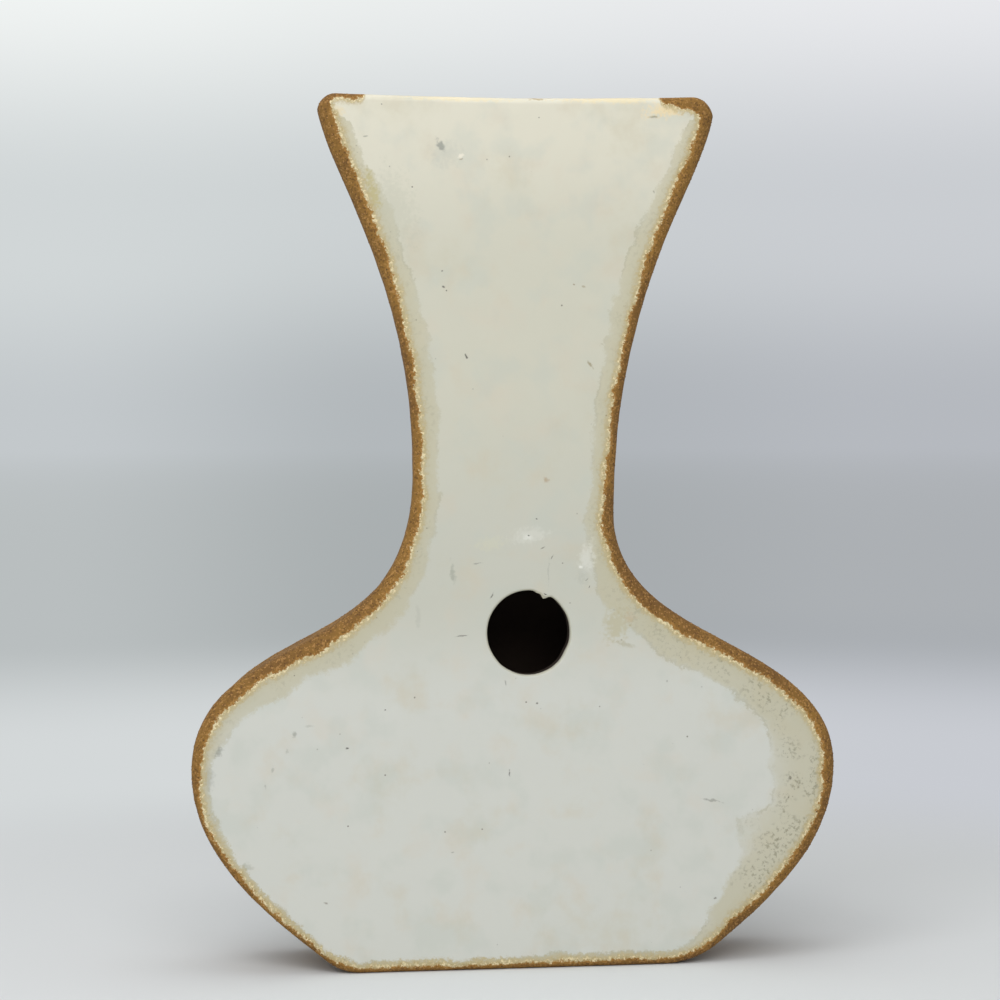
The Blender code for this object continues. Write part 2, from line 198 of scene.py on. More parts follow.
class WallPocketSizes(bpy.types.PropertyGroup):
    """Sizes of the hand work on the clay."""

    face_pitch: length_setting(
        "Face pitch", "Distance between points on the glazed faces", 1.3 * MM)
    inside_pitch: length_setting(
        "Inside pitch", "Distance between points on the faces turned inwards", 4.0 * MM)
    edge_pitch: length_setting(
        "Edge pitch", "Distance between points along a slab's edge", 1.0 * MM)
    rim_round: length_setting(
        "Rim round", "Radius of the slabs' edges along the rim", 2.2 * MM)
    inner_round: length_setting(
        "Inner round", "Radius of the slabs' edges next to the side walls", 0.6 * MM)
    edge_wander: length_setting(
        "Edge wander", "How far the hand-cut edge strays from its line", 0.20 * MM)
    face_wander: length_setting(
        "Face wander", "How far a rolled face strays from flat", 0.22 * MM)
    left_corner: length_setting(
        "Left mouth corner", "Radius of the sponged left corner of the mouth", 6.5 * MM)
    right_corner: length_setting(
        "Right mouth corner", "Radius of the sponged right corner of the mouth", 8.5 * MM)
    rim_dip: length_setting(
        "Rim dip", "How far the hand-cut rim sags between its corners", 1.1 * MM)
    hole_width: length_setting("Hole width", "Width of the hanging hole", 29.1 * MM)
    hole_tall: length_setting("Hole height", "Height of the hanging hole", 29.6 * MM)
    hole_lip: length_setting("Hole lip", "Radius of the glazed lip of the hole", 0.55 * MM)
    wall_rows: IntProperty(
        name="Wall rows", description="Rows of faces across a side wall", default=34, min=6)
    thumb_pitch: length_setting(
        "Thumb pitch", "Distance between the thumb marks along a coil", 13.0 * MM)
    grit_size: length_setting(
        "Grit size", "Half the width of a usual grain of grog in the bare clay", 0.26 * MM)
    grit_density: FloatProperty(
        name="Grit density", description="Grains on a square metre of bare edge",
        default=260000.0, min=0.0)


class WallPocketColours(bpy.types.PropertyGroup):
    """Colours of the fired clay, the glaze and the stage."""

    # Partly painted light: the rim's colour is partly whiter glaze and partly light from the lamp
    # above
    rim_glaze_and_top_light: colour_setting("Rim glaze", "Whiter glaze that gathered at the rim", "#DDD9C7")
    waist_glaze: colour_setting("Waist glaze", "Glaze on the waist and round the hole", "#C7C7BA")
    neck_glaze: colour_setting("Neck glaze", "Warm cream of the glaze on the neck", "#CECCBB")
    body_glaze: colour_setting("Body glaze", "Cooler white of the glaze on the body", "#D1D2CA")
    warm_cloud: colour_setting("Warm cloud", "Faint rosy cast in the glaze", "#D6C8B4")
    cool_cloud: colour_setting("Cool cloud", "Faint cool cast in the glaze", "#C0C6BC")
    thin_glaze: colour_setting("Thin glaze", "Yellower glaze where it is thin", "#BEB798")
    honey_glaze: colour_setting(
        "Honey glaze", "Very thin glaze next to the clay", "#B9A676")
    fringe: colour_setting("Fringe", "Cream crumbs of glaze on the border of the clay", "#F0E2B8")
    tide_line: colour_setting("Tide line", "Grey line where the thick glaze stops", "#A5A082")
    golden_clay: colour_setting("Golden clay", "Clay flushed by the glaze next to it", "#B5853F")
    smudge: colour_setting("Smudge", "Grey smudges in the broad thin glaze", "#86816A")
    bare_clay: colour_setting("Bare clay", "Brown of the fired clay", "#8E682C")
    toasted_clay: colour_setting("Toasted clay", "Clay flashed darker in the kiln", "#765322")
    pale_grain: colour_setting("Pale grain", "Pale grog in the clay", "#B98B50")
    dark_grain: colour_setting("Dark grain", "Iron grain in the clay", "#553617")
    iron_speck: colour_setting("Iron speck", "Speck of iron in the glaze", "#5E5546")
    # Partly painted shade: the liner is made this dark as a brown glaze and as the shade inside
    # the hollow
    liner: colour_setting("Liner", "Dark brown glaze inside", "#2A1D12")
    floor: colour_setting("Floor", "Pale sweep under the vase", "#DADDDE")
    near_floor: colour_setting("Near floor", "The sweep just behind the vase", "#D4D8D9")
    # Painted shade: the far sweep and the backdrop are painted greyer towards the horizon, where
    # the lamps' light falls off
    far_floor: colour_setting("Far floor", "Greyer sweep further away", "#B9BEBF")
    horizon: colour_setting("Horizon", "Where the sweep turns up", "#C3C8CB")
    low_sky: colour_setting("Low backdrop", "The backdrop at the height of the vase", "#D1D6D7")
    sky: colour_setting("Backdrop", "Pale top of the backdrop", "#F2F5F4")
    # Painted shade: how much greyer the backdrop and the sweep are painted on the right
    right_shade: colour_setting("Right shade", "How much greyer the right side is", "#F9F7FB")
    floor_right_painted_shade: colour_setting(
        "Right of the floor", "How much greyer the sweep is on the right", "#F1F0F6")
    # Painted shade: how much greyer the backdrop and the far sweep are painted in the middle,
    # behind the vase
    behind: colour_setting("Behind the vase", "How much greyer the middle is", "#EBECEC")


def feed(node, inputs):
    """Give a node its values, and link into it what comes from other nodes."""
    for socket, value in inputs.items():
        if isinstance(value, bpy.types.NodeSocket):
            node.id_data.links.new(value, node.inputs[socket])
        else:
            node.inputs[socket].default_value = value


def add_node(tree, kind, inputs=None, **settings):
    """Add a node with its settings, its values and what is linked into it."""
    node = tree.nodes.new(kind)
    for name, value in settings.items():
        setattr(node, name, value)
    feed(node, inputs or {})
    return node


def per_metre(millimetres):
    """Texture scale that repeats at about the given size."""
    return 1000.0 / millimetres


def opaque(colour):
    """A colour with full alpha, or what a node gives as it is."""
    return colour if isinstance(colour, bpy.types.NodeSocket) else (*colour, 1.0)


def share_of(tree, *parts):
    """A share between none and all: its parts multiplied.

    A part is a value, or a smooth step: a value, where it starts and ends, and what the step
    goes from and to, which is from none to all if it isn't given.
    """
    share = None
    for part in parts:
        if isinstance(part, tuple):
            value, start, end, low, high = (*part, 0.0, 1.0)[:5]
            part = add_node(tree, "ShaderNodeMapRange",
                            {0: value, 1: start, 2: end, 3: low, 4: high},
                            interpolation_type="SMOOTHSTEP").outputs[0]
        if share is not None:
            part = add_node(tree, "ShaderNodeMath", {0: share, 1: part},
                            operation="MULTIPLY").outputs[0]
        share = part
    return share


def laid_over(tree, under, over, *parts, mode="MIX"):
    """A colour laid over another one, by the share that the parts give."""
    mix = add_node(tree, "ShaderNodeMix",
                   {0: share_of(tree, *parts), 6: opaque(under), 7: opaque(over)},
                   data_type="RGBA", blend_type=mode)
    return mix.outputs[2]


def summed(tree, start, *terms):
    """A value plus others, each of them times its own factor."""
    for value, times in terms:
        start = add_node(tree, "ShaderNodeMath", {0: value, 1: times, 2: start},
                         operation="MULTIPLY_ADD").outputs[0]
    return start


def new_finish(name):
    """A material with only its shader and output; returns it, its tree and its shader."""
    material = bpy.data.materials.new(name)
    material.use_nodes = True
    tree = material.node_tree
    return material, tree, tree.nodes["Principled BSDF"]


def dress_shader(shader, colour, roughness, relief, strength=0.6, depth=0.25 * MM):
    """Give a shader its colour and roughness, and the relief of its surface."""
    bump = add_node(shader.id_data, "ShaderNodeBump",
                    {"Strength": strength, "Distance": depth, "Height": relief})
    feed(shader, {"Base Color": colour, "Roughness": roughness, "Normal": bump.outputs[0]})


def clay_look(tree, where, colours):
    """Colour and relief of fired grogged clay, about 0.5 mm grains in a sanded surface."""
    clouds, fine = (
        add_node(tree, "ShaderNodeTexNoise",
                 {"Vector": where, "Scale": per_metre(size), "Detail": detail}).outputs[0]
        for size, detail in ((16, 3.0), (0.8, 4.0)))
    grit = add_node(tree, "ShaderNodeTexVoronoi",
                    {"Vector": where, "Scale": per_metre(0.55), "Randomness": 1.0})
    pale, dark, _ = add_node(
        tree, "ShaderNodeSeparateColor", {0: grit.outputs["Color"]}).outputs
    colour = laid_over(tree, colours.bare_clay, colours.toasted_clay, (clouds, 0.35, 0.68))
    colour = laid_over(tree, colour, colours.pale_grain, (pale, 0.70, 0.90, 0.0, 0.55))
    colour = laid_over(tree, colour, colours.dark_grain, (dark, 0.74, 0.92, 0.0, 0.65))
    return colour, summed(tree, fine, (pale, 0.5))


def worn_clay_finish(colours):
    """Unglazed stoneware of the foot, sanded and then worn: dry, gritty and without shine."""
    material, tree, shader = new_finish("worn_stoneware_floor")
    where = add_node(tree, "ShaderNodeTexCoord").outputs["Object"]
    colour, relief = clay_look(tree, where, colours)
    dress_shader(shader, colour, 0.80, relief)
    return material


def grit_finish(colours):
    """Grains of grog that stand out of the sanded clay, each with its own shade."""
    material, tree, shader = new_finish("fired_grog_grains")
    shade = add_node(tree, "ShaderNodeAttribute", attribute_name="grain_shade").outputs["Fac"]
    colour = laid_over(tree, colours.dark_grain, colours.bare_clay, (shade, 0.0, 0.55))
    colour = laid_over(tree, colour, colours.pale_grain, (shade, 0.6, 1.0))
    feed(shader, {"Base Color": colour, "Roughness": 0.8})
    return material


def liner_and_painted_shade_share(tree, crumbs):
    """How far the liner, partly painted shade, covers a place: whole inside, with a crumbly
    border under the rim.
    """
    inside = add_node(tree, "ShaderNodeAttribute", attribute_name="inside_place").outputs["Fac"]
    return share_of(tree, (summed(tree, inside, (crumbs, 1.5)), 3.6, 4.6))


def wall_finish(colours):
    """Bare sanded stoneware outside, and the dark brown liner glaze inside, dark partly as
    painted shade.
    """
    material, tree, shader = new_finish("sanded_stoneware_wall")
    where = add_node(tree, "ShaderNodeTexCoord").outputs["Object"]
    clay, relief = clay_look(tree, where, colours)
    crumbs = add_node(tree, "ShaderNodeTexNoise",
                      {"Vector": where, "Scale": per_metre(1.1), "Detail": 3.0}).outputs[0]
    lined_and_shaded = liner_and_painted_shade_share(tree, crumbs)
    roughness = add_node(tree, "ShaderNodeMix", {0: lined_and_shaded, 2: 0.88, 3: 0.35}).outputs[0]
    dress_shader(shader, laid_over(tree, clay, colours.liner, lined_and_shaded), roughness, relief)
    return material


def liner_finish(colours):
    """Dark brown liner glaze, poured in and out again: smooth and fairly glossy, and dark partly
    as painted shade.
    """
    material, tree, shader = new_finish("brown_liner_glaze_and_shade")
    where = add_node(tree, "ShaderNodeTexCoord").outputs["Object"]
    clouds = add_node(tree, "ShaderNodeTexNoise",
                      {"Vector": where, "Scale": per_metre(12), "Detail": 3.0}).outputs[0]
    colour = laid_over(tree, colours.liner, colours.toasted_clay, (clouds, 0.45, 0.75, 0.0, 0.5))
    feed(shader, {"Base Color": colour, "Roughness": 0.35})
    return material


# Marks in the glaze of the wall side: place across and up, half width and half height, turn
# in degrees, strength, and which colour each one has
GLAZE_MARKS = (
    ("rubbed smear below the shoulder", 34.8, 120.5, 5.5, 7.5, 20, 0.65, "#BBB390"),
    ("lower edge of the smear", 37.5, 113.6, 4.0, 1.0, 14, 0.45, "#A8A283"),
    ("brown rub in the smear", 39.5, 123.0, 2.5, 2.5, 0, 0.30, "#C2A887"),
    ("shade round the rub near the rim", -24.5, 283.5, 7.0, 5.5, 0, 0.22, "#B4B5AB"),
    ("grey rub near the rim", -26.6, 286.8, 1.5, 2.7, -28, 0.75, "#8F9188"),
    ("chip near the rim", -19.7, 283.3, 1.6, 0.9, -15, 0.85, "#EFE9D8"),
    ("edge of the chip", -19.4, 282.4, 1.4, 0.3, -12, 0.75, "#9B8A6C"),
    ("grey streak left of the hole", -23.0, 139.2, 1.1, 4.5, -4, 0.70, "#A3A597"),
    ("second streak left of the hole", -35.2, 123.4, 1.1, 5.0, 0, 0.25, "#A9AB9E"),
    ("tick left of the hole", -9.5, 130.8, 0.4, 1.3, 28, 0.80, "#6B6A61"),
    ("scratch left of the hole", -19.8, 117.2, 2.6, 0.28, -6, 0.80, "#77756B"),
    ("scratch above the hole", -14.1, 142.3, 1.7, 0.28, -4, 0.70, "#85837A"),
    ("yellow rub over the hole", -9.7, 149.2, 6.5, 3.0, -8, 0.35, "#D3D1B7"),
    ("white patch over the hole", 4.0, 151.8, 8.0, 3.2, -6, 0.32, "#E2E2D9"),
    ("crater over the hole", 3.5, 151.4, 2.0, 1.0, 0, 0.50, "#E9EAE2"),
    ("dot in the crater", 3.7, 152.0, 0.45, 0.35, 0, 0.95, "#37342D"),
    ("dark spot over the crater", 6.4, 157.8, 0.55, 0.35, 0, 0.90, "#4E4B42"),
    ("crack by the crater", 8.7, 147.6, 1.1, 0.25, -30, 0.75, "#6F6C60"),
    ("crack under it", 12.0, 144.6, 1.5, 0.25, -52, 0.75, "#6F6C60"),
    ("line down to the hole", 10.6, 138.5, 0.25, 5.5, 2, 0.40, "#A3A598"),
    ("white strip beside the hole", 24.3, 143.5, 3.4, 8.5, 12, 0.60, "#DEDED4"),
    ("grey patch in the strip", 22.6, 137.5, 3.0, 4.0, 0, 0.40, "#AEB0A4"),
    ("bright dot in the strip", 21.8, 140.4, 0.9, 0.7, 0, 0.85, "#ECECE2"),
    ("crack in the strip", 24.0, 136.2, 1.2, 0.25, -52, 0.80, "#66645A"),
    ("second crack in the strip", 25.3, 133.9, 0.7, 0.25, -60, 0.80, "#66645A"),
    ("tick under the hole", -4.6, 100.6, 0.3, 1.3, -8, 0.60, "#7C7A70"),
    ("speck under the hole", -0.9, 102.4, 0.5, 0.3, 0, 0.60, "#7C7A70"),
    ("second speck under the hole", 6.2, 93.2, 0.5, 0.4, 0, 0.80, "#625F56"),
    ("grey speck right of the hole", 52.6, 100.5, 0.7, 0.6, 0, 0.55, "#8A897F"),
    ("scratch on the right of the body", 68.7, 57.8, 4.4, 0.5, 14, 0.65, "#8D8D84"),
    ("brown fleck on the waist", 9.8, 171.3, 1.2, 1.0, 0, 0.55, "#A98F69"),
    ("brown fleck on the neck", 25.7, 211.7, 0.6, 2.2, -35, 0.70, "#94855E"),
    ("brown dot on the neck", 20.0, 239.0, 0.5, 0.5, 0, 0.70, "#8C7A56"),
    ("second brown dot on the neck", 23.2, 238.3, 0.7, 0.5, 0, 0.55, "#9C8C68"),
    ("dark spot on the neck", -17.9, 214.2, 0.55, 0.9, 0, 0.90, "#4F4A40"),
    ("pit on the neck", -25.9, 243.5, 0.5, 0.4, 0, 0.80, "#57544A"),
    ("second pit on the neck", -26.0, 238.2, 0.7, 0.5, 0, 0.85, "#4A463C"),
    ("third pit on the neck", -24.6, 237.0, 0.4, 0.4, 0, 0.85, "#4A463C"),
    ("grey mark at the rim", 48.3, 297.4, 1.9, 0.6, 4, 0.75, "#7F7B60"),
    ("grey shade on the left of the neck", -42.5, 264.0, 9.0, 17.0, -12, 0.30, "#B9BAA8"),
    ("warm glaze in the right mouth corner", 54.0, 300.2, 10.0, 3.2, -8, 0.70, "#F2DAA6"),
    ("warm glaze in the left mouth corner", -62.0, 298.5, 3.0, 3.0, 0, 0.50, "#E3CFA0"),
    ("yellow glaze along the rim", 33.0, 303.4, 22.0, 1.7, -1, 0.65, "#E9D8AC"),
    ("yellow glaze on the left of the rim", -20.0, 303.2, 24.0, 1.2, 1, 0.60, "#E9DAB2"),
    ("brown specks on the rim", 7.0, 303.3, 3.0, 0.6, 0, 0.75, "#A8905F"),
    ("olive streak on the left of the neck", -50.0, 271.0, 2.4, 9.0, -14, 0.80, "#BCB17F"),
    ("arc near the left of the rim", -52.2, 290.0, 1.0, 0.3, 0, 0.60, "#8B8C7E"),
    ("tick near the right of the rim", 48.4, 271.5, 0.35, 0.9, 0, 0.65, "#8A846B"),
    ("dark spot under the middle", -3.3, 69.4, 0.35, 1.3, 0, 0.85, "#4F4D46"),
    ("dark spot on the left of the body", -60.0, 78.7, 0.6, 0.5, 0, 0.90, "#4C4840"),
    ("fine spot on the left of the body", -46.9, 91.9, 0.35, 0.3, 0, 0.90, "#4C4840"),
    ("grey rub on the left of the body", -78.2, 84.2, 1.3, 1.0, 20, 0.60, "#8F9185"),
    ("second rub on the left of the body", -73.0, 86.5, 1.8, 0.6, 0, 0.35, "#A3A598"),
    ("third rub on the left of the body", -80.8, 78.0, 0.9, 0.9, 0, 0.40, "#9FA194"),
    ("streak on the left of the body", -85.8, 71.6, 0.5, 1.3, 0, 0.50, "#9A9C90"),
    ("second streak on the left of the body", -88.3, 66.1, 0.5, 1.5, 0, 0.50, "#9A9C90"),
    ("dark rub at the left edge", -104.3, 78.2, 1.6, 2.2, 20, 0.55, "#83857A"),
    ("grey shade at the left edge", -107.6, 68.5, 2.2, 5.5, 4, 0.35, "#9C9F98"),
    ("short tick on the left of the body", -23.5, 41.5, 1.0, 0.3, 4, 0.60, "#8B8A80"),
    ("speck low on the left", -67.8, 25.0, 0.8, 0.6, 0, 0.60, "#6A5F4A"),
    ("rub low on the left", -94.5, 38.5, 2.4, 1.6, 30, 0.40, "#9D9F8C"),
    ("speck at the right edge", 96.8, 65.0, 0.8, 0.8, 0, 0.80, "#5F5747"),
    ("speck low on the right", 69.7, 23.0, 0.7, 0.6, 0, 0.80, "#5F5747"),
)


def add_mark(tree, where, grain, colour, mark):
    """One mark laid over a colour: an ellipse on the face with a ragged, soft edge."""
    _, across, up, half_wide, half_tall, turn, strength, code = mark
    local = add_node(
        tree, "ShaderNodeMapping",
        {"Vector": where, "Location": (across * MM, BACK_LOW.y, up * MM),
         "Rotation": (0.0, math.radians(turn), 0.0),
         "Scale": (half_wide * MM, 1.0, half_tall * MM)}, vector_type="TEXTURE")
    reach = add_node(tree, "ShaderNodeVectorMath", {0: local.outputs[0]}, operation="LENGTH")
    ragged = summed(tree, reach.outputs["Value"], (grain, 1.8))
    return laid_over(tree, colour, hex_colour(code), (ragged, 1.15, 2.0, strength, 0.0))


# Patterns in the glaze: the size at which each repeats, in millimetres, its detail and its
# roughness
GLAZE_PATTERNS = {
    "crumbs": (1.1, 3.0, 0.5), "grains": (0.5, 2.0, 0.5), "drift": (9, 2.0, 0.5),
    "clouds": (26, 5.0, 0.62), "tints": (13, 3.0, 0.5), "slow": (18, 4.0, 0.5),
    "jitter": (3, 3.0, 0.5), "patches": (7, 2.0, 0.5), "dirt": (1.5, 4.0, 0.7),
    "broken": (1.3, 5.0, 0.7), "brushed": (5, 4.0, 0.55),
}


def glaze_finish(name, colours, marks=()):
    """Semi-matt feldspar glaze over grogged clay, brushed on by hand and wiped off the edge.

    It is thick and white on the face, thin and honey-coloured next to the edge, and the bare
    clay shows where it was wiped off. The attributes say how far each place lies from the
    slab's edge, how wide the bare and the thin parts are there, and how deep inside it is.
    """
    material, tree, shader = new_finish(name)
    where = add_node(tree, "ShaderNodeTexCoord").outputs["Object"]
    place = add_node(tree, "ShaderNodeAttribute", attribute_name="edge_place").outputs["Vector"]
    edge, bare, thin = add_node(tree, "ShaderNodeSeparateXYZ", {0: place}).outputs
    patterns = {
        pattern: add_node(tree, "ShaderNodeTexNoise",
                          {"Vector": where, "Scale": per_metre(size), "Detail": detail,
                           "Roughness": rough}).outputs
        for pattern, (size, detail, rough) in GLAZE_PATTERNS.items()}
    waves = {pattern: outputs[0] for pattern, outputs in patterns.items()}

    # The glaze's border wavers: crumbly over the grains, and slowly with the sponge
    border = summed(tree, -4.2, (edge, 1.0), (bare, -1.0), (waves["crumbs"], 3.0),
                    (waves["grains"], 2.0), (waves["drift"], 3.4))

    # Thick glaze: cool on the body, greyer at the waist, warm on the neck, white at the rim
    height = add_node(tree, "ShaderNodeSeparateXYZ", {0: where}).outputs[2]
    glaze = laid_over(tree, colours.body_glaze, colours.waist_glaze,
                      (height, 0.30 * TALL, 0.43 * TALL))
    glaze = laid_over(tree, glaze, colours.neck_glaze, (height, 0.45 * TALL, 0.70 * TALL))
    # Partly painted light: whiter towards the rim, as glaze and as light from the lamp above
    glaze = laid_over(tree, glaze, colours.rim_glaze_and_top_light, (height, 0.80 * TALL, 0.99 * TALL))
    warm, cool, _ = add_node(
        tree, "ShaderNodeSeparateColor", {0: patterns["tints"]["Color"]}).outputs
    glaze = laid_over(tree, glaze, colours.thin_glaze, (waves["clouds"], 0.50, 0.75, 0.0, 0.30))
    glaze = laid_over(tree, glaze, colours.warm_cloud, (warm, 0.48, 0.70, 0.0, 0.20))
    glaze = laid_over(tree, glaze, colours.cool_cloud, (cool, 0.48, 0.70, 0.0, 0.30))

    # Thin glaze next to the edge, with a line where the thick glaze stops. The way across it
    # is 0 at the clay and about 1 at that line.
    across = add_node(tree, "ShaderNodeMath", {0: border, 1: thin}, operation="DIVIDE")
    across = summed(tree, -0.45, (across.outputs[0], 1.0), (waves["slow"], 0.9))
    least = share_of(tree, (thin, 6.0, 8.5, 0.44, 0.64))
    thin_share = share_of(tree, (across, 0.80, 1.06, 1.0, 0.0), (border, 0.5, 6.0, 0.80, least),
                          (border, 8.0, 20.0, 1.0, 0.55))
    glaze = laid_over(tree, glaze, colours.thin_glaze, thin_share)
    off_line = add_node(tree, "ShaderNodeMath", {0: summed(tree, -0.95, (across, 1.0))},
                        operation="ABSOLUTE").outputs[0]
    glaze = laid_over(tree, glaze, colours.tide_line,
                      (share_of(tree, off_line, thin), 0.1, 0.9, 0.38, 0.0),
                      (waves["clouds"], 0.44, 0.60))

    # Iron specks, most of them in the thin glaze
    specks = add_node(tree, "ShaderNodeTexVoronoi",
                      {"Vector": where, "Scale": per_metre(2.6), "Randomness": 1.0})
    first, second, _ = add_node(
        tree, "ShaderNodeSeparateColor", {0: specks.outputs["Color"]}).outputs
    rare = share_of(tree, (first, 0.965, 0.985))
    often = share_of(tree, (second, 0.70, 0.85), thin_share)
    pick = add_node(tree, "ShaderNodeMath", {0: rare, 1: often}, operation="MAXIMUM").outputs[0]
    glaze = laid_over(tree, glaze, colours.iron_speck, pick,
                      (specks.outputs["Distance"], 0.06, 0.16, 0.8, 0.0))

    # The marks stray a little from their ellipses
    strayed = add_node(tree, "ShaderNodeVectorMath",
                       {0: patterns["jitter"]["Color"], 1: (2.0 * MM,) * 3, 2: where},
                       operation="MULTIPLY_ADD").outputs[0]
    strayed = add_node(tree, "ShaderNodeVectorMath",
                       {0: strayed, 1: (-1.0 * MM,) * 3}, operation="ADD").outputs[0]
    for mark in marks:
        glaze = add_mark(tree, strayed, waves["crumbs"], glaze, mark)
    # Painted shade: the rounded lip of the hole is painted grey, as shade on its bevel
    glaze = laid_over(tree, glaze, colours.tide_line,
                      (edge, LIP_SHADE_FROM, LIP_SHADE, 0.0, 0.45))

    # Grey smudges in broad thin glaze
    glaze = laid_over(tree, glaze, colours.smudge, (waves["dirt"], 0.51, 0.61, 0.0, 0.62),
                      (waves["patches"], 0.40, 0.56), (thin, 7.0, 15.0, 0.25, 1.0),
                      (across, 0.45, 1.10, 1.0, 0.0))

    # Honey glaze next to the clay, with cream crumbs where it breaks, and gold beyond it
    glaze = laid_over(tree, glaze, colours.honey_glaze, (border, 0.2, 3.0, 0.95, 0.0))
    glaze = laid_over(tree, glaze, colours.fringe, (border, 0.3, 1.5, 1.0, 0.0),
                      (waves["broken"], 0.46, 0.58, 0.0, 0.9))
    clay, clay_relief = clay_look(tree, where, colours)
    clay = laid_over(tree, clay, colours.golden_clay, (border, -1.3, -0.1, 0.0, 0.50))
    clay_share = share_of(tree, (border, -0.3, 0.3, 1.0, 0.0))
    colour = laid_over(tree, glaze, clay, clay_share)
    # Partly painted shade: the dark liner inside
    colour = laid_over(tree, colour, colours.liner, liner_and_painted_shade_share(tree, waves["crumbs"]))
    sheen = share_of(tree, (waves["brushed"], 0.3, 0.7, 0.36, 0.52))
    roughness = add_node(tree, "ShaderNodeMix", {0: clay_share, 2: sheen, 3: 0.88}).outputs[0]

    # Relief: the glaze's own thickness, its brushed skin, and the grit of the clay
    coat = share_of(tree, (border, -0.4, 1.2))
    grit = share_of(tree, clay_share, clay_relief)
    relief = summed(tree, 0.0, (waves["brushed"], 0.25), (coat, 0.8), (grit, 0.6))
    feed(shader, {"IOR": 1.5})
    dress_shader(shader, colour, roughness, relief, 0.5, 0.35 * MM)
    return material


def silhouette(node, steps=900):
    """Left and right edge of a node at many heights, closest together at foot and rim."""
    mesh = node.data
    corners = np.empty(len(mesh.vertices) * 3)
    mesh.vertices.foreach_get("co", corners)
    corners = corners.reshape(-1, 3)
    pairs = np.empty(len(mesh.edges) * 2, dtype=np.int64)
    mesh.edges.foreach_get("vertices", pairs)
    pairs = pairs.reshape(-1, 2)
    lower, upper = corners[pairs[:, 0]], corners[pairs[:, 1]]
    swap = lower[:, 2] > upper[:, 2]
    lower[swap], upper[swap] = upper[swap], lower[swap].copy()
    sides = []
    for step in range(steps + 1):
        height = TALL * (1 - math.cos(math.pi * step / steps)) / 2
        height = min(max(height, 0.01 * MM), TALL - 0.01 * MM)
        crossing = (lower[:, 2] <= height) & (upper[:, 2] > height)
        low, high = lower[crossing], upper[crossing]
        share = (height - low[:, 2]) / (high[:, 2] - low[:, 2])
        across = low[:, 0] + (high[:, 0] - low[:, 0]) * share
        sides.append((across.min(), across.max(), height))
    return sides


def evenly_spaced(points, spacing):
    """A closed line with its points at an even spacing."""
    closed = np.vstack([points, points[:1]])
    walked = np.concatenate([[0], np.cumsum(np.hypot(*np.diff(closed, axis=0).T))])
    count = int(round(walked[-1] / spacing))
    places = np.linspace(0, walked[-1], count, endpoint=False)
    return np.column_stack([np.interp(places, walked, closed[:, axis]) for axis in (0, 1)])


def softened(values, passes):
    """Values round a closed line, each drawn towards its two neighbours."""
    for _ in range(passes):
        values = (np.roll(values, 1, axis=0) + 2 * values + np.roll(values, -1, axis=0)) / 4
    return values


def inward_normals(points):
    """Unit directions to the inside of a closed line that runs anticlockwise."""
    ways = np.roll(points, -1, axis=0) - np.roll(points, 1, axis=0)
    normals = np.column_stack([-ways[:, 1], ways[:, 0]])
    return normals / np.hypot(*normals.T)[:, None]


def worked_rim(points, sizes):
    """An outline with both corners of its mouth sponged rounder and its rim sagging a little."""
    x, z = points.T.copy()
    for side, radius in ((LEFT, sizes.left_corner), (RIGHT, sizes.right_corner)):
        reach = (side * x[z > TALL - 2 * radius]).max() - radius
        if reach <= 0:
            continue
        beyond_x, beyond_z = side * x - reach, z - (TALL - radius)
        far = np.hypot(beyond_x, beyond_z)
        cut = (beyond_x > 0) & (beyond_z > 0) & (far > radius)
        x[cut] = side * (reach + beyond_x[cut] * radius / far[cut])
        z[cut] = TALL - radius + beyond_z[cut] * radius / far[cut]
    sag = sizes.rim_dip * np.clip(1 - (x / RIM_HALF) ** 2, 0.0, 1.0)
    z -= sag * np.clip((z - TALL + RIM_SAGS) / RIM_SAGS, 0.0, 1.0)
    return np.column_stack([x, z])


def read_stations(stations, heights):
    """Widths at the given heights, from pairs of height and width in millimetres."""
    places, widths = zip(*stations)
    return np.interp(heights / MM, places, widths)


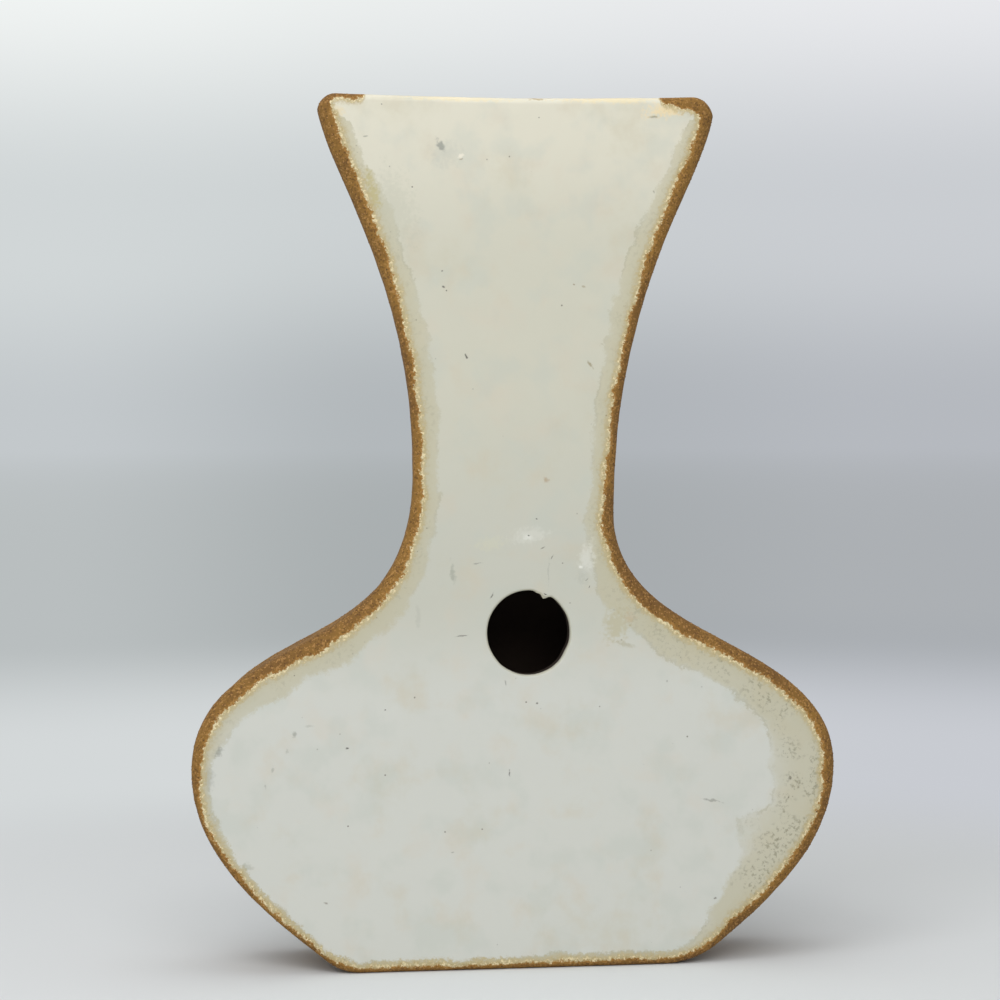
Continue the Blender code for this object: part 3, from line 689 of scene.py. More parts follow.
class Outline:
    """The closed outline of a slab, with what varies along it."""

    def __init__(self, node, sizes):
        self.lefts, self.rights, self.heights = np.array(silhouette(node)).T
        ends = list(zip(self.rights, self.heights))
        ends += reversed(list(zip(self.lefts, self.heights)))
        points = evenly_spaced(np.array(ends), sizes.edge_pitch)
        points = worked_rim(softened(points, 3), sizes)
        points[:, 1] = np.clip(points[:, 1], 0.0, TALL)
        normals = inward_normals(points)
        self.points = points + normals * self.wander(points, sizes.edge_wander)[:, None]
        self.points[:, 1] = np.where(points[:, 1] < FOOT_KEPT, points[:, 1], self.points[:, 1])
        self.normals = inward_normals(self.points)
        self.set_widths(sizes)
        self.tree = KDTree(len(self.points))
        for index, (x, z) in enumerate(self.points):
            self.tree.insert((x, 0.0, z), index)
        self.tree.balance()

    def wander(self, points, reach):
        """How far each point strays inwards, in slow and in quick waves."""
        slow = [noise.noise(Vector((x, 0.0, z)) / (22 * MM)) for x, z in points]
        quick = [noise.noise(Vector((x, 0.01, z)) / (6 * MM)) for x, z in points]
        return reach * np.clip(0.9 + np.array(slow) + 0.4 * np.array(quick), 0.2, 2.0)

    def set_widths(self, sizes):
        """Bare clay, thin glaze and edge round at each point, in millimetres and metres."""
        x, z = self.points.T
        on_right = x > 0
        bare, thin = (
            np.where(on_right, read_stations(right, z), read_stations(left, z))
            for left, right in ((BARE_LEFT, BARE_RIGHT), (THIN_LEFT, THIN_RIGHT)))
        at_rim = self.at_rim = (self.normals[:, 1] < -0.7) & (z > 0.9 * TALL)
        bare = np.where(at_rim, read_stations(RIM_BARE, x), bare)
        bare = np.where(at_rim & (x > RIM_GLAZE_FROM) & (x < RIM_GLAZE_TO), GLAZED_OVER, bare)
        thin = np.where(at_rim, 1.0, thin)
        self.bare = softened(bare, 2)
        self.thin = softened(thin, 20)
        edge_round = np.clip(np.abs(bare) * MM, LEAST_ROUND, MOST_ROUND * SLAB)
        edge_round = np.where(at_rim, sizes.rim_round, edge_round)
        self.round = softened(edge_round, 40)

    def nearest(self, x, z):
        """Index of the nearest point, and the distance in from the outline there."""
        _, index, reach = self.tree.find((x, 0.0, z))
        left, right = (np.interp(z, self.heights, edge) for edge in (self.lefts, self.rights))
        return index, reach if left < x < right else -reach


def join_rings(work, rings):
    """Faces between closed rings of as many points, each to the next one."""
    for first, second in zip(rings, rings[1:]):
        for corners in zip(first, first[1:] + first[:1], second[1:] + second[:1], second):
            work.faces.new(corners)


def keep_values(mesh, name, values, kind="FLOAT"):
    """Keep a value for each point of a mesh, under a name."""
    layer = mesh.attributes.new(name, kind, "POINT")
    layer.data.foreach_set("value" if kind == "FLOAT" else "vector",
                           np.asarray(values, dtype=np.float32).ravel())


def kept_values(mesh, name):
    """What is kept for the points of a mesh under a name, one row for each measure."""
    layer = mesh.attributes[name]
    wide = 1 if layer.data_type == "FLOAT" else 3
    values = np.empty(len(mesh.vertices) * wide, dtype=np.float32)
    layer.data.foreach_get("value" if wide == 1 else "vector", values)
    return values.reshape(-1, wide).T


class SlabBuilder:
    """Collects the points and faces of one slab, and where each point lies on it."""

    def __init__(self, outline, inner_y, way, bow):
        self.outline = outline
        self.inner_y = inner_y
        self.way = way
        self.bow = bow
        self.work = bmesh.new()
        self.edge_place = []
        self.inside_place = []

    def add(self, x, z, depth, place, inside=OUTSIDE):
        """A point at a depth from the slab's inner face."""
        y = self.inner_y + self.way * (depth + self.bow(x, z))
        self.edge_place.append(place)
        self.inside_place.append(inside)
        return self.work.verts.new((x, y, z))

    def ring(self, inset, depth, edge):
        """Points all along the outline, drawn in by an inset and down to a depth."""
        line = self.outline
        places = line.points + line.normals * inset[:, None]
        return [
            self.add(x, z, depth[i], (edge[i], line.bare[i], line.thin[i]))
            for i, (x, z) in enumerate(places)]

    def fill(self, borders, margin, pitch, depth, inner):
        """Triangles over a face between its border rings, with points at an even pitch."""
        flat = [Vector((v.co.x, v.co.z)) for border in borders for v in border]
        corners = [v for border in borders for v in border]
        edges = []
        start = 0
        for border in borders:
            count = len(border)
            edges += [(start + i, start + (i + 1) % count) for i in range(count)]
            start += count
        rise = pitch * math.sqrt(0.75)
        for row in range(int(TALL / rise) + 1):
            z = row * rise
            x = -HALF_WIDE + (pitch / 2 if row % 2 else 0.0)
            while x < HALF_WIDE:
                index, inset = self.outline.nearest(x, z)
                gap = BORDER_GAP * pitch
                if inset > margin[index] + gap and clear_of_hole(x, z, borders, gap):
                    flat.append(Vector((x, z)))
                    corners.append((x, z, index, inset))
                x += pitch
        made = delaunay_2d_cdt(flat, edges, [], 1, SAME_PLACE, True)
        hole_start = len(borders[0])
        for face in made[2]:
            sources = [made[3][corner][0] for corner in face]
            if all(source < hole_start for source in sources):
                first, second, third = (flat[source] for source in sorted(sources))
                if (second - first).cross(third - first) <= 0:
                    continue
            if all(hole_start <= source < start for source in sources):
                continue
            for source in sources:
                if isinstance(corners[source], tuple):
                    x, z, index, inset = corners[source]
                    line = self.outline
                    place = (INNER_FACE if inner else inset / MM,
                             line.bare[index], line.thin[index])
                    inside = (TALL - z) / MM if inner else OUTSIDE
                    corners[source] = self.add(x, z, depth, place, inside)
            self.work.faces.new([corners[source] for source in sources])

    def finish(self, name):
        """The mesh, with its faces outwards and its places kept as attributes."""
        bmesh.ops.recalc_face_normals(self.work, faces=self.work.faces)
        mesh = bpy.data.meshes.new(name)
        self.work.to_mesh(mesh)
        self.work.free()
        keep_values(mesh, "edge_place", self.edge_place, "FLOAT_VECTOR")
        keep_values(mesh, "inside_place", self.inside_place)
        return mesh


def clear_of_hole(x, z, borders, gap):
    """Whether a place keeps its distance from the hole, if the face has one."""
    if len(borders) < 2:
        return True
    away = math.hypot(x - HOLE_PLACE.x, z - HOLE_PLACE.z)
    ring = borders[1][0].co
    reach = math.hypot(ring.x - HOLE_PLACE.x, ring.z - HOLE_PLACE.z)
    return away > reach + BURR_ROOM + gap


def hole_ring(builder, grow, depth, place, inside, sizes, count=120):
    """Points round the hanging hole, with the burrs that the cutter left."""
    ring = []
    for step in range(count):
        angle = 2 * math.pi * step / count
        burr = sum(high * MM * math.exp(-((math.degrees(angle) - turn) / wide) ** 2)
                   for high, turn, wide in HOLE_BURRS)
        shrink = grow - burr * (1.0 if grow < 0.1 * MM else 0.75)
        wander = 0.12 * MM * noise.noise(Vector((math.cos(angle), math.sin(angle), depth)) * 3)
        x = HOLE_PLACE.x + (sizes.hole_width / 2 + shrink + wander) * math.cos(angle)
        z = HOLE_PLACE.z + (sizes.hole_tall / 2 + shrink + wander) * math.sin(angle)
        ring.append(builder.add(x, z, depth, place, inside))
    return ring


def quarter_turn(steps):
    """Angles from nothing to a right angle, in even steps."""
    return [math.pi / 2 * step / steps for step in range(steps + 1)]


def cut_slab(name, node, inner_y, way, bow, sizes, with_hole):
    """A slab of clay cut to the flask's outline, with worked edges and glazed face."""
    line = Outline(node, sizes)
    builder = SlabBuilder(line, inner_y, way, bow)
    inner = softened(np.where(line.at_rim, sizes.rim_round, sizes.inner_round), 10)
    rings = []
    for angle in quarter_turn(4):
        inset = inner * (1 - math.sin(angle))
        depth = inner * (1 - math.cos(angle))
        rings.append(builder.ring(inset, depth, depth / MM - SLAB / MM))
    side_rows = 3
    for step in range(1, side_rows):
        share = step / side_rows
        depth = inner + (SLAB - line.round - inner) * share
        rings.append(builder.ring(np.zeros(len(inner)), depth, (depth - SLAB) / MM))
    for angle in quarter_turn(9):
        inset = line.round * (1 - math.cos(angle))
        depth = SLAB - line.round * (1 - math.sin(angle))
        edge = np.where(inset > 0, inset, depth - SLAB + line.round) / MM
        rings.append(builder.ring(inset, depth, edge))
    join_rings(builder.work, rings)
    outer_borders = [rings[-1]]
    inner_borders = [rings[0]]
    if with_hole:
        lip = sizes.hole_lip
        glazed, shaded, raw = (
            (edge, *HOLE_WIDTHS) for edge in (LIP_GLAZE, LIP_SHADE, HOLE_WALL))
        hole = [hole_ring(builder, lip * 1.9, SLAB, glazed, OUTSIDE, sizes)]
        # The rings round the rounded lip carry the painted shade of the lip
        for angle in quarter_turn(4)[1:]:
            grow = lip * (1 - math.sin(angle))
            depth = SLAB - lip * (1 - math.cos(angle))
            hole.append(hole_ring(builder, grow, depth, shaded, OUTSIDE, sizes))
        # Deeper down, the hole's wall takes the dark liner, partly painted shade
        for share in (0.86, 0.6, 0.3, 0.0):
            inside = 2.0 + 8 * (1 - share)
            hole.append(hole_ring(builder, 0.0, SLAB * share * 0.9, raw, inside, sizes))
        join_rings(builder.work, hole)
        outer_borders.append(hole[0])
        inner_borders.append(hole[-1])
    builder.fill(outer_borders, line.round, sizes.face_pitch, SLAB, False)
    builder.fill(inner_borders, inner, sizes.inside_pitch, 0.0, True)
    mesh = builder.finish(name)
    work_by_hand(mesh, way, sizes)
    return mesh


def work_by_hand(mesh, way, sizes):
    """Let the glazed face stray from flat, as a rolled and brushed surface does."""
    for vert in mesh.vertices:
        x, _, z = vert.co
        wave = noise.noise(Vector((x, 0.3, z)) / (34 * MM))
        ripple = noise.noise(Vector((x, 0.7, z)) / (9 * MM))
        vert.co.y -= way * sizes.face_wander * max(0.0, 0.7 + wave + 0.3 * ripple)


def no_bow(x, z):
    """The back slab is flat."""
    return 0.0


def make_front_bow(node):
    """How far the front slab bows out, none along its sides and foot."""
    lefts, rights, heights = np.array(silhouette(node)).T
    halves = (rights - lefts) / 2
    middles = (rights + lefts) / 2
    widest = halves.max()
    belly = float(heights[halves.argmax()])

    def bow(x, z):
        half = float(np.interp(z, heights, halves))
        middle = float(np.interp(z, heights, middles))
        across = 1 - min(abs(x - middle) / half, 1.0) ** 2
        climb = min(z / belly, 1.0)
        return FRONT_BOW * across * half / widest * (1 - (1 - climb) ** 2)

    return bow


def add_piece(name, mesh, finish, slot, *stands_for):
    """Put a finished mesh on the vase's body, in place of what it stands for."""
    piece = bpy.data.objects.new(name, mesh)
    bpy.context.scene.collection.objects.link(piece)
    mesh.materials.clear()
    mesh.materials.append(finish)
    mesh.shade_smooth()
    mesh.set_sharp_from_angle(angle=SHARP_FROM)
    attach(piece, "root")
    if stands_for:
        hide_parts(*stands_for)


def cap_loop(node):
    """The closed outline of a side wall's end that lies against the back slab."""
    work = bmesh.new()
    work.from_mesh(node.data)
    bmesh.ops.remove_doubles(work, verts=work.verts, dist=0.01 * MM)
    level = min(vert.co.y for vert in work.verts) + 0.05 * MM
    cap = {face for face in work.faces if all(vert.co.y < level for vert in face.verts)}
    border = {}
    for edge in work.edges:
        if len([face for face in edge.link_faces if face in cap]) == 1:
            for vert, other in (edge.verts, reversed(edge.verts)):
                border.setdefault(vert, []).append(other)
    start = next(iter(border))
    loop = [start]
    previous = None
    while True:
        onward = [vert for vert in border[loop[-1]] if vert is not previous]
        previous = loop[-1]
        if onward[0] is start:
            break
        loop.append(onward[0])
    points = np.array([(vert.co.x, vert.co.z) for vert in loop])
    work.free()
    following = np.roll(points, -1, axis=0)
    area = np.sum(points[:, 0] * following[:, 1] - following[:, 0] * points[:, 1])
    return points if area > 0 else points[::-1]


def strip_mesh(name, node, side, outline, sizes):
    """A strip of clay bent up one side, scraped flush with the slabs it joins."""
    loop = worked_rim(softened(evenly_spaced(cap_loop(node), STRIP_PITCH), 2), sizes)
    normals = inward_normals(loop)
    rows = sizes.wall_rows
    low, high = WALL_LOW.y - SEAM_LAP, WALL_HIGH.y + SEAM_LAP
    wide = high - low
    seam = 0.8 * MM
    profile = [(0.0, 1.0), (0.25 * seam, 0.55), (0.6 * seam, 0.2), (seam, 0.0)]
    stops = [(depth, inset * seam) for depth, inset in profile]
    stops += [(seam + (wide - 2 * seam) * step / rows, 0.0) for step in range(1, rows)]
    stops += [(wide - depth, inset * seam) for depth, inset in reversed(profile)]
    from_outline = np.array([outline.nearest(x, z)[1] for x, z in loop])
    is_inner = (from_outline > 0.6 * SLAB) & (loop[:, 1] < TALL - 0.6 * MM)
    work = bmesh.new()
    rings = []
    for depth, inset in stops:
        share = min(max(depth / wide, 0.0), 1.0)
        ring = []
        for (x, z), (nx, nz) in zip(loop, normals):
            spot = Vector((x, low + depth, z))
            wave = noise.noise(spot / (26 * MM)) + 0.35 * noise.noise(spot / (7 * MM))
            stray = inset + 0.28 * MM * (1 + wave) * (0.0 if z < FOOT_KEPT else 1.0)
            ring.append(work.verts.new(
                (x + nx * stray - side * WALL_LEAN * share, low + depth, z + nz * stray)))
        rings.append(ring)
    join_rings(work, rings)
    for ring in (rings[0], rings[-1]):
        work.faces.new(ring)
    work.normal_update()
    bmesh.ops.triangulate(work, faces=[face for face in work.faces if len(face.verts) > 4])
    bmesh.ops.recalc_face_normals(work, faces=work.faces)
    mesh = bpy.data.meshes.new(name)
    work.to_mesh(mesh)
    work.free()
    inside = np.where(is_inner, (TALL - loop[:, 1]) / MM, OUTSIDE)
    keep_values(mesh, "inside_place", np.tile(inside, len(rings)))
    return mesh


def new_tree(name, settings):
    """A geometry-nodes tree with named inputs; returns it, its inputs and their identifiers."""
    tree = bpy.data.node_groups.new(name, "GeometryNodeTree")
    for way in ("INPUT", "OUTPUT"):
        tree.interface.new_socket("Geometry", in_out=way, socket_type="NodeSocketGeometry")
    identifiers = {}
    for setting, default in settings.items():
        kind = "NodeSocketInt" if isinstance(default, int) else "NodeSocketFloat"
        socket = tree.interface.new_socket(setting, in_out="INPUT", socket_type=kind)
        socket.default_value = default
        identifiers[setting] = socket.identifier
    return tree, add_node(tree, "NodeGroupInput").outputs, identifiers


def end_tree(tree, geometry, finish):
    """Make a tree's instances real, give them their finish and pass them out."""
    real = add_node(tree, "GeometryNodeRealizeInstances", {0: geometry})
    coated = add_node(tree, "GeometryNodeSetMaterial",
                      {"Geometry": real.outputs[0], "Material": finish})
    add_node(tree, "NodeGroupOutput", {0: coated.outputs[0]})


def coil_tree(finish):
    """Geometry nodes that roll a coil along a path and press it with a thumb."""
    tree, given, identifiers = new_tree(
        "thumb_pressed_coil", {"Radius": 3.5 * MM, "Thumb pitch": 13 * MM, "Press": 0.12})
    path = add_node(tree, "GeometryNodeMeshToCurve", {"Mesh": given["Geometry"]})
    even = add_node(tree, "GeometryNodeResampleCurve",
                    {"Curve": path.outputs[0], "Length": 1.6 * MM}, mode="LENGTH")
    along = add_node(tree, "GeometryNodeSplineParameter").outputs["Length"]
    presses = add_node(tree, "ShaderNodeMath", {0: along, 1: given["Thumb pitch"]},
                       operation="DIVIDE")
    angle = add_node(tree, "ShaderNodeMath", {0: presses.outputs[0], 1: math.tau},
                     operation="MULTIPLY")
    wave = add_node(tree, "ShaderNodeMath", {0: angle.outputs[0]}, operation="SINE")
    swell = add_node(tree, "ShaderNodeMath",
                     {0: wave.outputs[0], 1: given["Press"], 2: 0.92}, operation="MULTIPLY_ADD")
    ring = add_node(tree, "GeometryNodeCurvePrimitiveCircle",
                    {"Resolution": 14, "Radius": given["Radius"]})
    tube = add_node(tree, "GeometryNodeCurveToMesh",
                    {"Curve": even.outputs[0], "Profile Curve": ring.outputs[0],
                     "Scale": swell.outputs[0], "Fill Caps": True})
    end_tree(tree, tube.outputs[0], finish)
    return tree, identifiers


def grit_tree(finish):
    """Geometry nodes that scatter grains of grog over the bare clay of a mesh."""
    tree, given, identifiers = new_tree(
        "grog_on_bare_clay", {"Density": 200000.0, "Grain size": 0.26 * MM, "Seed": 7})
    bare = add_node(tree, "GeometryNodeInputNamedAttribute", {"Name": "bare_clay"})
    strewn = add_node(
        tree, "GeometryNodeDistributePointsOnFaces",
        {"Mesh": given["Geometry"], "Density": given["Density"], "Seed": given["Seed"],
         "Selection": bare.outputs[0]}).outputs
    grain = add_node(tree, "GeometryNodeMeshIcoSphere",
                     {"Radius": given["Grain size"], "Subdivisions": 1})
    spread = add_node(tree, "FunctionNodeRandomValue",
                      {0: (0.5, 0.5, 0.35), 1: (1.5, 1.3, 0.8), "Seed": given["Seed"]},
                      data_type="FLOAT_VECTOR")
    placed = add_node(
        tree, "GeometryNodeInstanceOnPoints",
        {"Points": strewn["Points"], "Instance": grain.outputs["Mesh"],
         "Rotation": strewn["Rotation"], "Scale": spread.outputs[0]})
    shade = add_node(tree, "FunctionNodeRandomValue", {"Seed": 3}, data_type="FLOAT")
    shaded = add_node(
        tree, "GeometryNodeStoreNamedAttribute",
        {"Geometry": placed.outputs[0], "Name": "grain_shade", "Value": shade.outputs[1]},
        domain="INSTANCE")
    end_tree(tree, shaded.outputs[0], finish)
    return tree, identifiers


def grown_mesh(name, source, tree, values):
    """Run a geometry-nodes tree on a mesh and keep the result as a plain mesh."""
    carrier = bpy.data.objects.new(name + "_carrier", source)
    bpy.context.scene.collection.objects.link(carrier)
    modifier = carrier.modifiers.new("grow", "NODES")
    modifier.node_group = tree
    for identifier, value in values.items():
        modifier[identifier] = value
    graph = bpy.context.evaluated_depsgraph_get()
    mesh = bpy.data.meshes.new_from_object(carrier.evaluated_get(graph))
    mesh.name = name
    carrier.modifiers.remove(modifier)
    bpy.data.objects.remove(carrier, do_unlink=True)
    return mesh


def keep_inside(mesh):
    """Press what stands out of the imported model's box back to its faces."""
    low, high = CAD_BOX
    for vert in mesh.vertices:
        vert.co = [min(max(place, small), large)
                   for place, small, large in zip(vert.co, low, high)]


def path_mesh(name, points):
    """An open line of points joined by edges."""
    mesh = bpy.data.meshes.new(name)
    mesh.from_pydata(points, [(i, i + 1) for i in range(len(points) - 1)], [])
    return mesh


def mark_bare(mesh, flags):
    """Say where grains of grog may lie on a mesh: on bare clay, but not under the foot."""
    height = kept_values(mesh, "position")[2]
    clear = np.abs(height - TALL / 2) < TALL / 2 - GRIT_CLEAR
    keep_values(mesh, "bare_clay", flags & clear)


def slab_is_bare(mesh):
    """Where a slab's edge is bare: outside the border of the glaze, and not inside."""
    edge, bare, _ = kept_values(mesh, "edge_place")
    inside = kept_values(mesh, "inside_place")[0]
    on_edge = (edge < bare - GRIT_TO_GLAZE) & (edge > -SLAB / MM + GRIT_TO_INNER)
    return on_edge & (inside < 0.0)


class WALLPOCKET_OT_back_slab(bpy.types.Operator):
    """Make the flat glazed slab that lies against the wall"""

    bl_idname = "wall_pocket.back_slab"
    bl_label = "Back slab"

    def execute(self, context):
        sizes = context.scene.wall_pocket_sizes
        finish = glaze_finish(
            "cream_glaze_wall_side", context.scene.wall_pocket_colours, GLAZE_MARKS)
        mesh = cut_slab("glazed_back_slab", frame["nodes"]["back_slab"],
                        BACK_HIGH.y, TO_WALL, no_bow, sizes, True)
        mark_bare(mesh, slab_is_bare(mesh))
        add_piece("glazed_back_slab", mesh, finish, "back_glaze", "back_slab")
        return {"FINISHED"}


class WALLPOCKET_OT_front_slab(bpy.types.Operator):
    """Make the glazed front slab, which bows out a little"""

    bl_idname = "wall_pocket.front_slab"
    bl_label = "Front slab"

    def execute(self, context):
        sizes = context.scene.wall_pocket_sizes
        node = frame["nodes"]["front_slab"]
        finish = glaze_finish("cream_glaze_front", context.scene.wall_pocket_colours)
        mesh = cut_slab("glazed_front_slab", node, FRONT_LOW.y, TO_ROOM,
                        make_front_bow(node), sizes, False)
        mark_bare(mesh, slab_is_bare(mesh))
        add_piece("glazed_front_slab", mesh, finish, "front_glaze", "front_slab")
        return {"FINISHED"}


class WALLPOCKET_OT_side_walls(bpy.types.Operator):
    """Make the two strips of clay up the sides"""

    bl_idname = "wall_pocket.side_walls"
    bl_label = "Side walls"

    def execute(self, context):
        sizes = context.scene.wall_pocket_sizes
        finish = wall_finish(context.scene.wall_pocket_colours)
        outline = Outline(frame["nodes"]["back_slab"], sizes)
        for node_name, side in (("right_wall", RIGHT), ("left_wall", LEFT)):
            name = "sanded_" + node_name
            mesh = strip_mesh(name, frame["nodes"][node_name], side, outline, sizes)
            mark_bare(mesh, kept_values(mesh, "inside_place")[0] < 0.0)
            add_piece(name, mesh, finish, "wall_clay", node_name)
        return {"FINISHED"}


class WALLPOCKET_OT_floor_strip(bpy.types.Operator):
    """Give the floor strip its worn clay finish"""

    bl_idname = "wall_pocket.floor_strip"
    bl_label = "Floor strip"

    def execute(self, context):
        finish = worn_clay_finish(context.scene.wall_pocket_colours)
        for slot in frame["nodes"]["base_slab"].material_slots:
            slot.material = finish
        return {"FINISHED"}


class WALLPOCKET_OT_seam_coils(bpy.types.Operator):
    """Press a coil of clay into each inner seam"""

    bl_idname = "wall_pocket.seam_coils"
    bl_label = "Seam coils"

    def execute(self, context):
        sizes = context.scene.wall_pocket_sizes
        finish = liner_finish(context.scene.wall_pocket_colours)
        tree, sockets = coil_tree(finish)
        low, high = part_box("base_back_coil")
        radius = (high.z - low.z) / 2
        values = {sockets["Radius"]: radius, sockets["Thumb pitch"]: sizes.thumb_pitch,
                  sockets["Press"]: 0.10}
        for name, points in coil_paths(radius).items():
            piece_name = "pressed_" + name
            mesh = grown_mesh(piece_name, path_mesh(name, points), tree, values)
            add_piece(piece_name, mesh, finish, "seam_clay", name)
        return {"FINISHED"}


def coil_paths(radius):
    """The line along which each coil is pressed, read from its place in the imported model."""
    paths = {}
    for name in ("base_back_coil", "base_left_coil", "base_right_coil"):
        low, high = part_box(name)
        middle = (low + high) / 2
        if high.x - low.x > high.y - low.y:
            ends = ((low.x, middle.y, middle.z), (high.x, middle.y, middle.z))
        else:
            outer, inner = low.x + radius, high.x - radius
            if middle.x > 0:
                outer, inner = inner, outer
            ends = ((outer, low.y, middle.z), (inner, high.y, middle.z))
        steps = 12
        paths[name] = [
            Vector(ends[0]).lerp(Vector(ends[1]), step / steps) for step in range(steps + 1)]
    for name, wall in (("back_left_coil", "left_wall"), ("back_right_coil", "right_wall")):
        low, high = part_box(name)
        side = RIGHT if wall == "right_wall" else LEFT
        loop = evenly_spaced(cap_loop(frame["nodes"][wall]), STRIP_PITCH)
        normals = inward_normals(loop)
        middle_y = (low.y + high.y) / 2
        off_wall = radius * 1.05
        points = []
        for (x, z), (nx, nz) in zip(loop, normals):
            place = Vector((x - nx * off_wall, middle_y, z - nz * off_wall))
            if side * nx > 0.05 and low.z + radius < place.z < high.z - radius * 0.2:
                points.append(place)
        paths[name] = sorted_along(points)
    return paths


def sorted_along(points):
    """Points put in order along the line that they lie on, from the lowest one."""
    longest_gap = 8 * MM
    rest = list(points)
    start = min(rest, key=lambda point: (round(point.z, 4), abs(point.x)))
    line = [start]
    rest.remove(start)
    while rest:
        nearest = min(rest, key=lambda point: (point - line[-1]).length)
        if (nearest - line[-1]).length > longest_gap:
            break
        line.append(nearest)
        rest.remove(nearest)
    return line


class WALLPOCKET_OT_clay_grit(bpy.types.Operator):
    """Strew grains of grog over the bare clay"""

    bl_idname = "wall_pocket.clay_grit"
    bl_label = "Clay grit"

    def execute(self, context):
        sizes = context.scene.wall_pocket_sizes
        finish = grit_finish(context.scene.wall_pocket_colours)
        tree, sockets = grit_tree(finish)
        for number, (host, share) in enumerate((
                ("glazed_back_slab", 1.0), ("glazed_front_slab", 0.8),
                ("sanded_left_wall", 0.22), ("sanded_right_wall", 0.22))):
            values = {sockets["Density"]: sizes.grit_density * share,
                      sockets["Grain size"]: sizes.grit_size, sockets["Seed"]: 11 + number}
            source = bpy.data.objects[host].data.copy()
            name = "grog_on_" + host.split("_", 1)[1]
            mesh = grown_mesh(name, source, tree, values)
            keep_inside(mesh)
            add_piece(name, mesh, finish, "wall_clay")
        return {"FINISHED"}


class WALLPOCKET_OT_stage(bpy.types.Operator):
    """Set up the pale sweep, the soft light and the camera"""

    bl_idname = "wall_pocket.stage"
    bl_label = "Stage"

    def execute(self, context):
        colours = context.scene.wall_pocket_colours
        build_floor(colours)
        build_backdrop(context.scene, colours)
        build_lamps(context.scene)
        build_camera(context.scene)
        context.scene.view_settings.view_transform = "Standard"
        return {"FINISHED"}


def build_floor(colours):
    """A wide pale sweep, with painted shade: greyer where it lies far behind the vase."""
    mesh = bpy.data.meshes.new("pale_sweep")
    reach = 40.0
    mesh.from_pydata(
        [(-reach, -reach, 0.0), (reach, -reach, 0.0), (reach, reach, 0.0), (-reach, reach, 0.0)],
        [], [(0, 1, 2, 3)])
    floor = bpy.data.objects.new("pale_sweep", mesh)
    bpy.context.scene.collection.objects.link(floor)
    material, tree, shader = new_finish("matt_paper_sweep")
    feed(shader, {"Base Color": opaque(colours.floor), "Roughness": 0.9,
                  "Specular IOR Level": 0.1})
    where = add_node(tree, "ShaderNodeTexCoord").outputs["Object"]
    away = add_node(tree, "ShaderNodeVectorMath", {0: where}, operation="LENGTH")
    distance = away.outputs["Value"]
    # Painted shade: the glowing far sweep greys further back, where the lamps' light falls off
    far_colour = laid_over(tree, colours.near_floor, colours.far_floor, (distance, 0.62, 1.34))
    far_colour = laid_over(tree, far_colour, colours.horizon, (distance, 2.0, 14.0))
    to_front = (-CAMERA_PLACE.x, -CAMERA_PLACE.y, 0.0)
    way = add_node(tree, "ShaderNodeVectorMath", {0: where, 1: to_front}, operation="ADD")
    # Painted shade: the sweep greyer on its right, standing for the vase's broad soft shadow
    right_painted_shade = laid_over(tree, colours.floor_right_painted_shade, colours.right_shade, (distance, 0.8, 1.8))
    far_colour = shaded_backdrop(tree, way.outputs[0], far_colour, right_painted_shade, colours.behind,
                                 share_of(tree, (distance, 0.8, 1.5)))
    glow = add_node(tree, "ShaderNodeEmission", {"Color": far_colour, "Strength": 1.0})
    rays = add_node(tree, "ShaderNodeLightPath").outputs
    seen = add_node(tree, "ShaderNodeMath",
                    {0: rays["Is Camera Ray"], 1: rays["Is Glossy Ray"]}, operation="MAXIMUM")
    far = share_of(tree, (distance, 0.22, 0.48), seen.outputs[0])
    mixed = add_node(tree, "ShaderNodeMixShader",
                     {0: far, 1: shader.outputs[0], 2: glow.outputs[0]})
    feed(tree.nodes["Material Output"], {"Surface": mixed.outputs[0]})
    mesh.materials.append(material)


def shaded_backdrop(tree, way, colour, right_painted_shade, behind, middle_share):
    """A backdrop's colour with painted shade: greyer on the right and a little in the middle,
    straight ahead.
    """
    way = add_node(tree, "ShaderNodeVectorMath", {0: way}, operation="NORMALIZE").outputs[0]
    across, onward, _ = add_node(tree, "ShaderNodeSeparateXYZ", {0: way}).outputs
    side = add_node(tree, "ShaderNodeMath", {0: across, 1: onward}, operation="DIVIDE").outputs[0]
    ahead = share_of(tree, (onward, 0.3, 0.8))
    colour = laid_over(tree, colour, right_painted_shade, (side, 0.0, 0.30), ahead, mode="MULTIPLY")
    return laid_over(tree, colour, behind, (side, -0.05, 0.08), (side, 0.16, 0.28, 1.0, 0.6),
                     ahead, middle_share, mode="MULTIPLY")


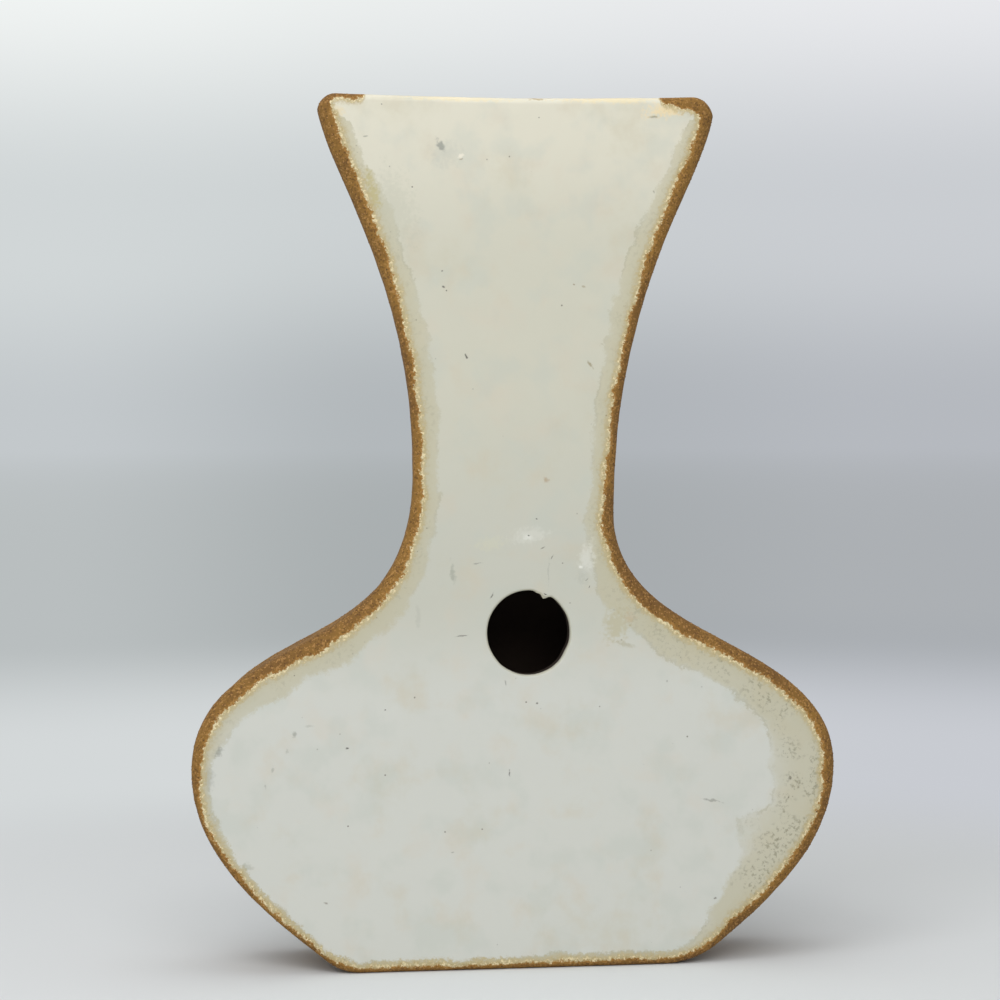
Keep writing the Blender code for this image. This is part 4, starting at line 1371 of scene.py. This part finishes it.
def build_backdrop(scene, colours):
    """Even light from all round, with a backdrop that pales upwards for the camera from a grey of
    painted shade near the horizon.
    """
    world = bpy.data.worlds.new("soft_studio")
    world.use_nodes = True
    scene.world = world
    tree = world.node_tree
    tree.nodes.clear()
    way = add_node(tree, "ShaderNodeTexCoord").outputs["Generated"]
    climb = add_node(tree, "ShaderNodeSeparateXYZ", {0: way}).outputs[2]
    # Painted shade: greyer near the horizon and paler upwards, as the lamps' light falls off
    colour = laid_over(tree, colours.horizon, colours.low_sky, (climb, 0.0, 0.06))
    colour = laid_over(tree, colour, colours.sky, (climb, 0.08, 0.17))
    colour = shaded_backdrop(tree, way, colour, colours.right_shade, colours.behind,
                             share_of(tree, (climb, 0.01, 0.08, 1.0, 0.25)))
    shown = add_node(tree, "ShaderNodeBackground", {"Color": colour, "Strength": 1.0})
    light = add_node(tree, "ShaderNodeBackground",
                     {"Color": (1.0, 1.0, 1.0, 1.0), "Strength": 0.42})
    rays = add_node(tree, "ShaderNodeLightPath").outputs
    seen = add_node(tree, "ShaderNodeMath",
                    {0: rays["Is Camera Ray"], 1: rays["Is Transmission Ray"]},
                    operation="MAXIMUM")
    mixed = add_node(tree, "ShaderNodeMixShader",
                     {0: seen.outputs[0], 1: light.outputs[0], 2: shown.outputs[0]})
    add_node(tree, "ShaderNodeOutputWorld", {0: mixed.outputs[0]})


def build_lamps(scene):
    """Three soft boxes: over the vase, at the front on the left, and over the camera."""
    for name, place, side, power in (
            ("top_soft_box", (-0.05, 0.0, 1.40), 1.2, 5.4),
            ("left_soft_box", (-0.70, -0.80, 1.10), 0.8, 6.4),
            ("front_soft_box", (0.0, -1.30, 1.00), 0.8, 6.8)):
        lamp = bpy.data.lights.new(name, "AREA")
        lamp.shape = "SQUARE"
        lamp.size = side
        lamp.energy = power
        box = bpy.data.objects.new(name, lamp)
        box.location = place
        aim = LIT_PLACE - box.location
        box.rotation_euler = aim.to_track_quat("-Z", "Y").to_euler()
        scene.collection.objects.link(box)


def build_camera(scene):
    """The camera, a little left of square to the back and looking slightly down."""
    camera = bpy.data.cameras.new("photo_camera")
    camera.lens = CAMERA_LENS
    camera.sensor_width = 36.0
    camera.clip_start = 0.01
    view = bpy.data.objects.new("photo_camera", camera)
    view.location = CAMERA_PLACE
    view.rotation_euler = [math.radians(turn) for turn in CAMERA_TURN]
    scene.collection.objects.link(view)
    scene.camera = view


STEPS = (
    WALLPOCKET_OT_back_slab, WALLPOCKET_OT_front_slab, WALLPOCKET_OT_side_walls,
    WALLPOCKET_OT_floor_strip, WALLPOCKET_OT_seam_coils, WALLPOCKET_OT_clay_grit,
    WALLPOCKET_OT_stage,
)


class WALLPOCKET_PT_panel(bpy.types.Panel):
    """Lists what dresses the vase"""

    bl_idname = "WALLPOCKET_PT_panel"
    bl_label = "Wall pocket vase"
    bl_space_type = "VIEW_3D"
    bl_region_type = "UI"
    bl_category = "Wall pocket"

    def draw(self, context):
        for step in STEPS:
            self.layout.operator(step.bl_idname)
        for group in (context.scene.wall_pocket_sizes, context.scene.wall_pocket_colours):
            for name in group.bl_rna.properties.keys():
                if name not in ("rna_type", "name"):
                    self.layout.prop(group, name)


CLASSES = (WallPocketSizes, WallPocketColours, *STEPS, WALLPOCKET_PT_panel)


def register():
    """Make the classes and settings known to Blender."""
    for item in CLASSES:
        bpy.utils.register_class(item)
    bpy.types.Scene.wall_pocket_sizes = PointerProperty(type=WallPocketSizes)
    bpy.types.Scene.wall_pocket_colours = PointerProperty(type=WallPocketColours)


def unregister():
    """Take the classes and settings away again."""
    del bpy.types.Scene.wall_pocket_colours
    del bpy.types.Scene.wall_pocket_sizes
    for item in reversed(CLASSES):
        bpy.utils.unregister_class(item)


def main():
    """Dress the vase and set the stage."""
    register()
    bpy.ops.wall_pocket.back_slab()
    bpy.ops.wall_pocket.front_slab()
    bpy.ops.wall_pocket.side_walls()
    bpy.ops.wall_pocket.floor_strip()
    bpy.ops.wall_pocket.seam_coils()
    bpy.ops.wall_pocket.clay_grit()
    bpy.ops.wall_pocket.stage()


if __name__ == "__main__":
    main()
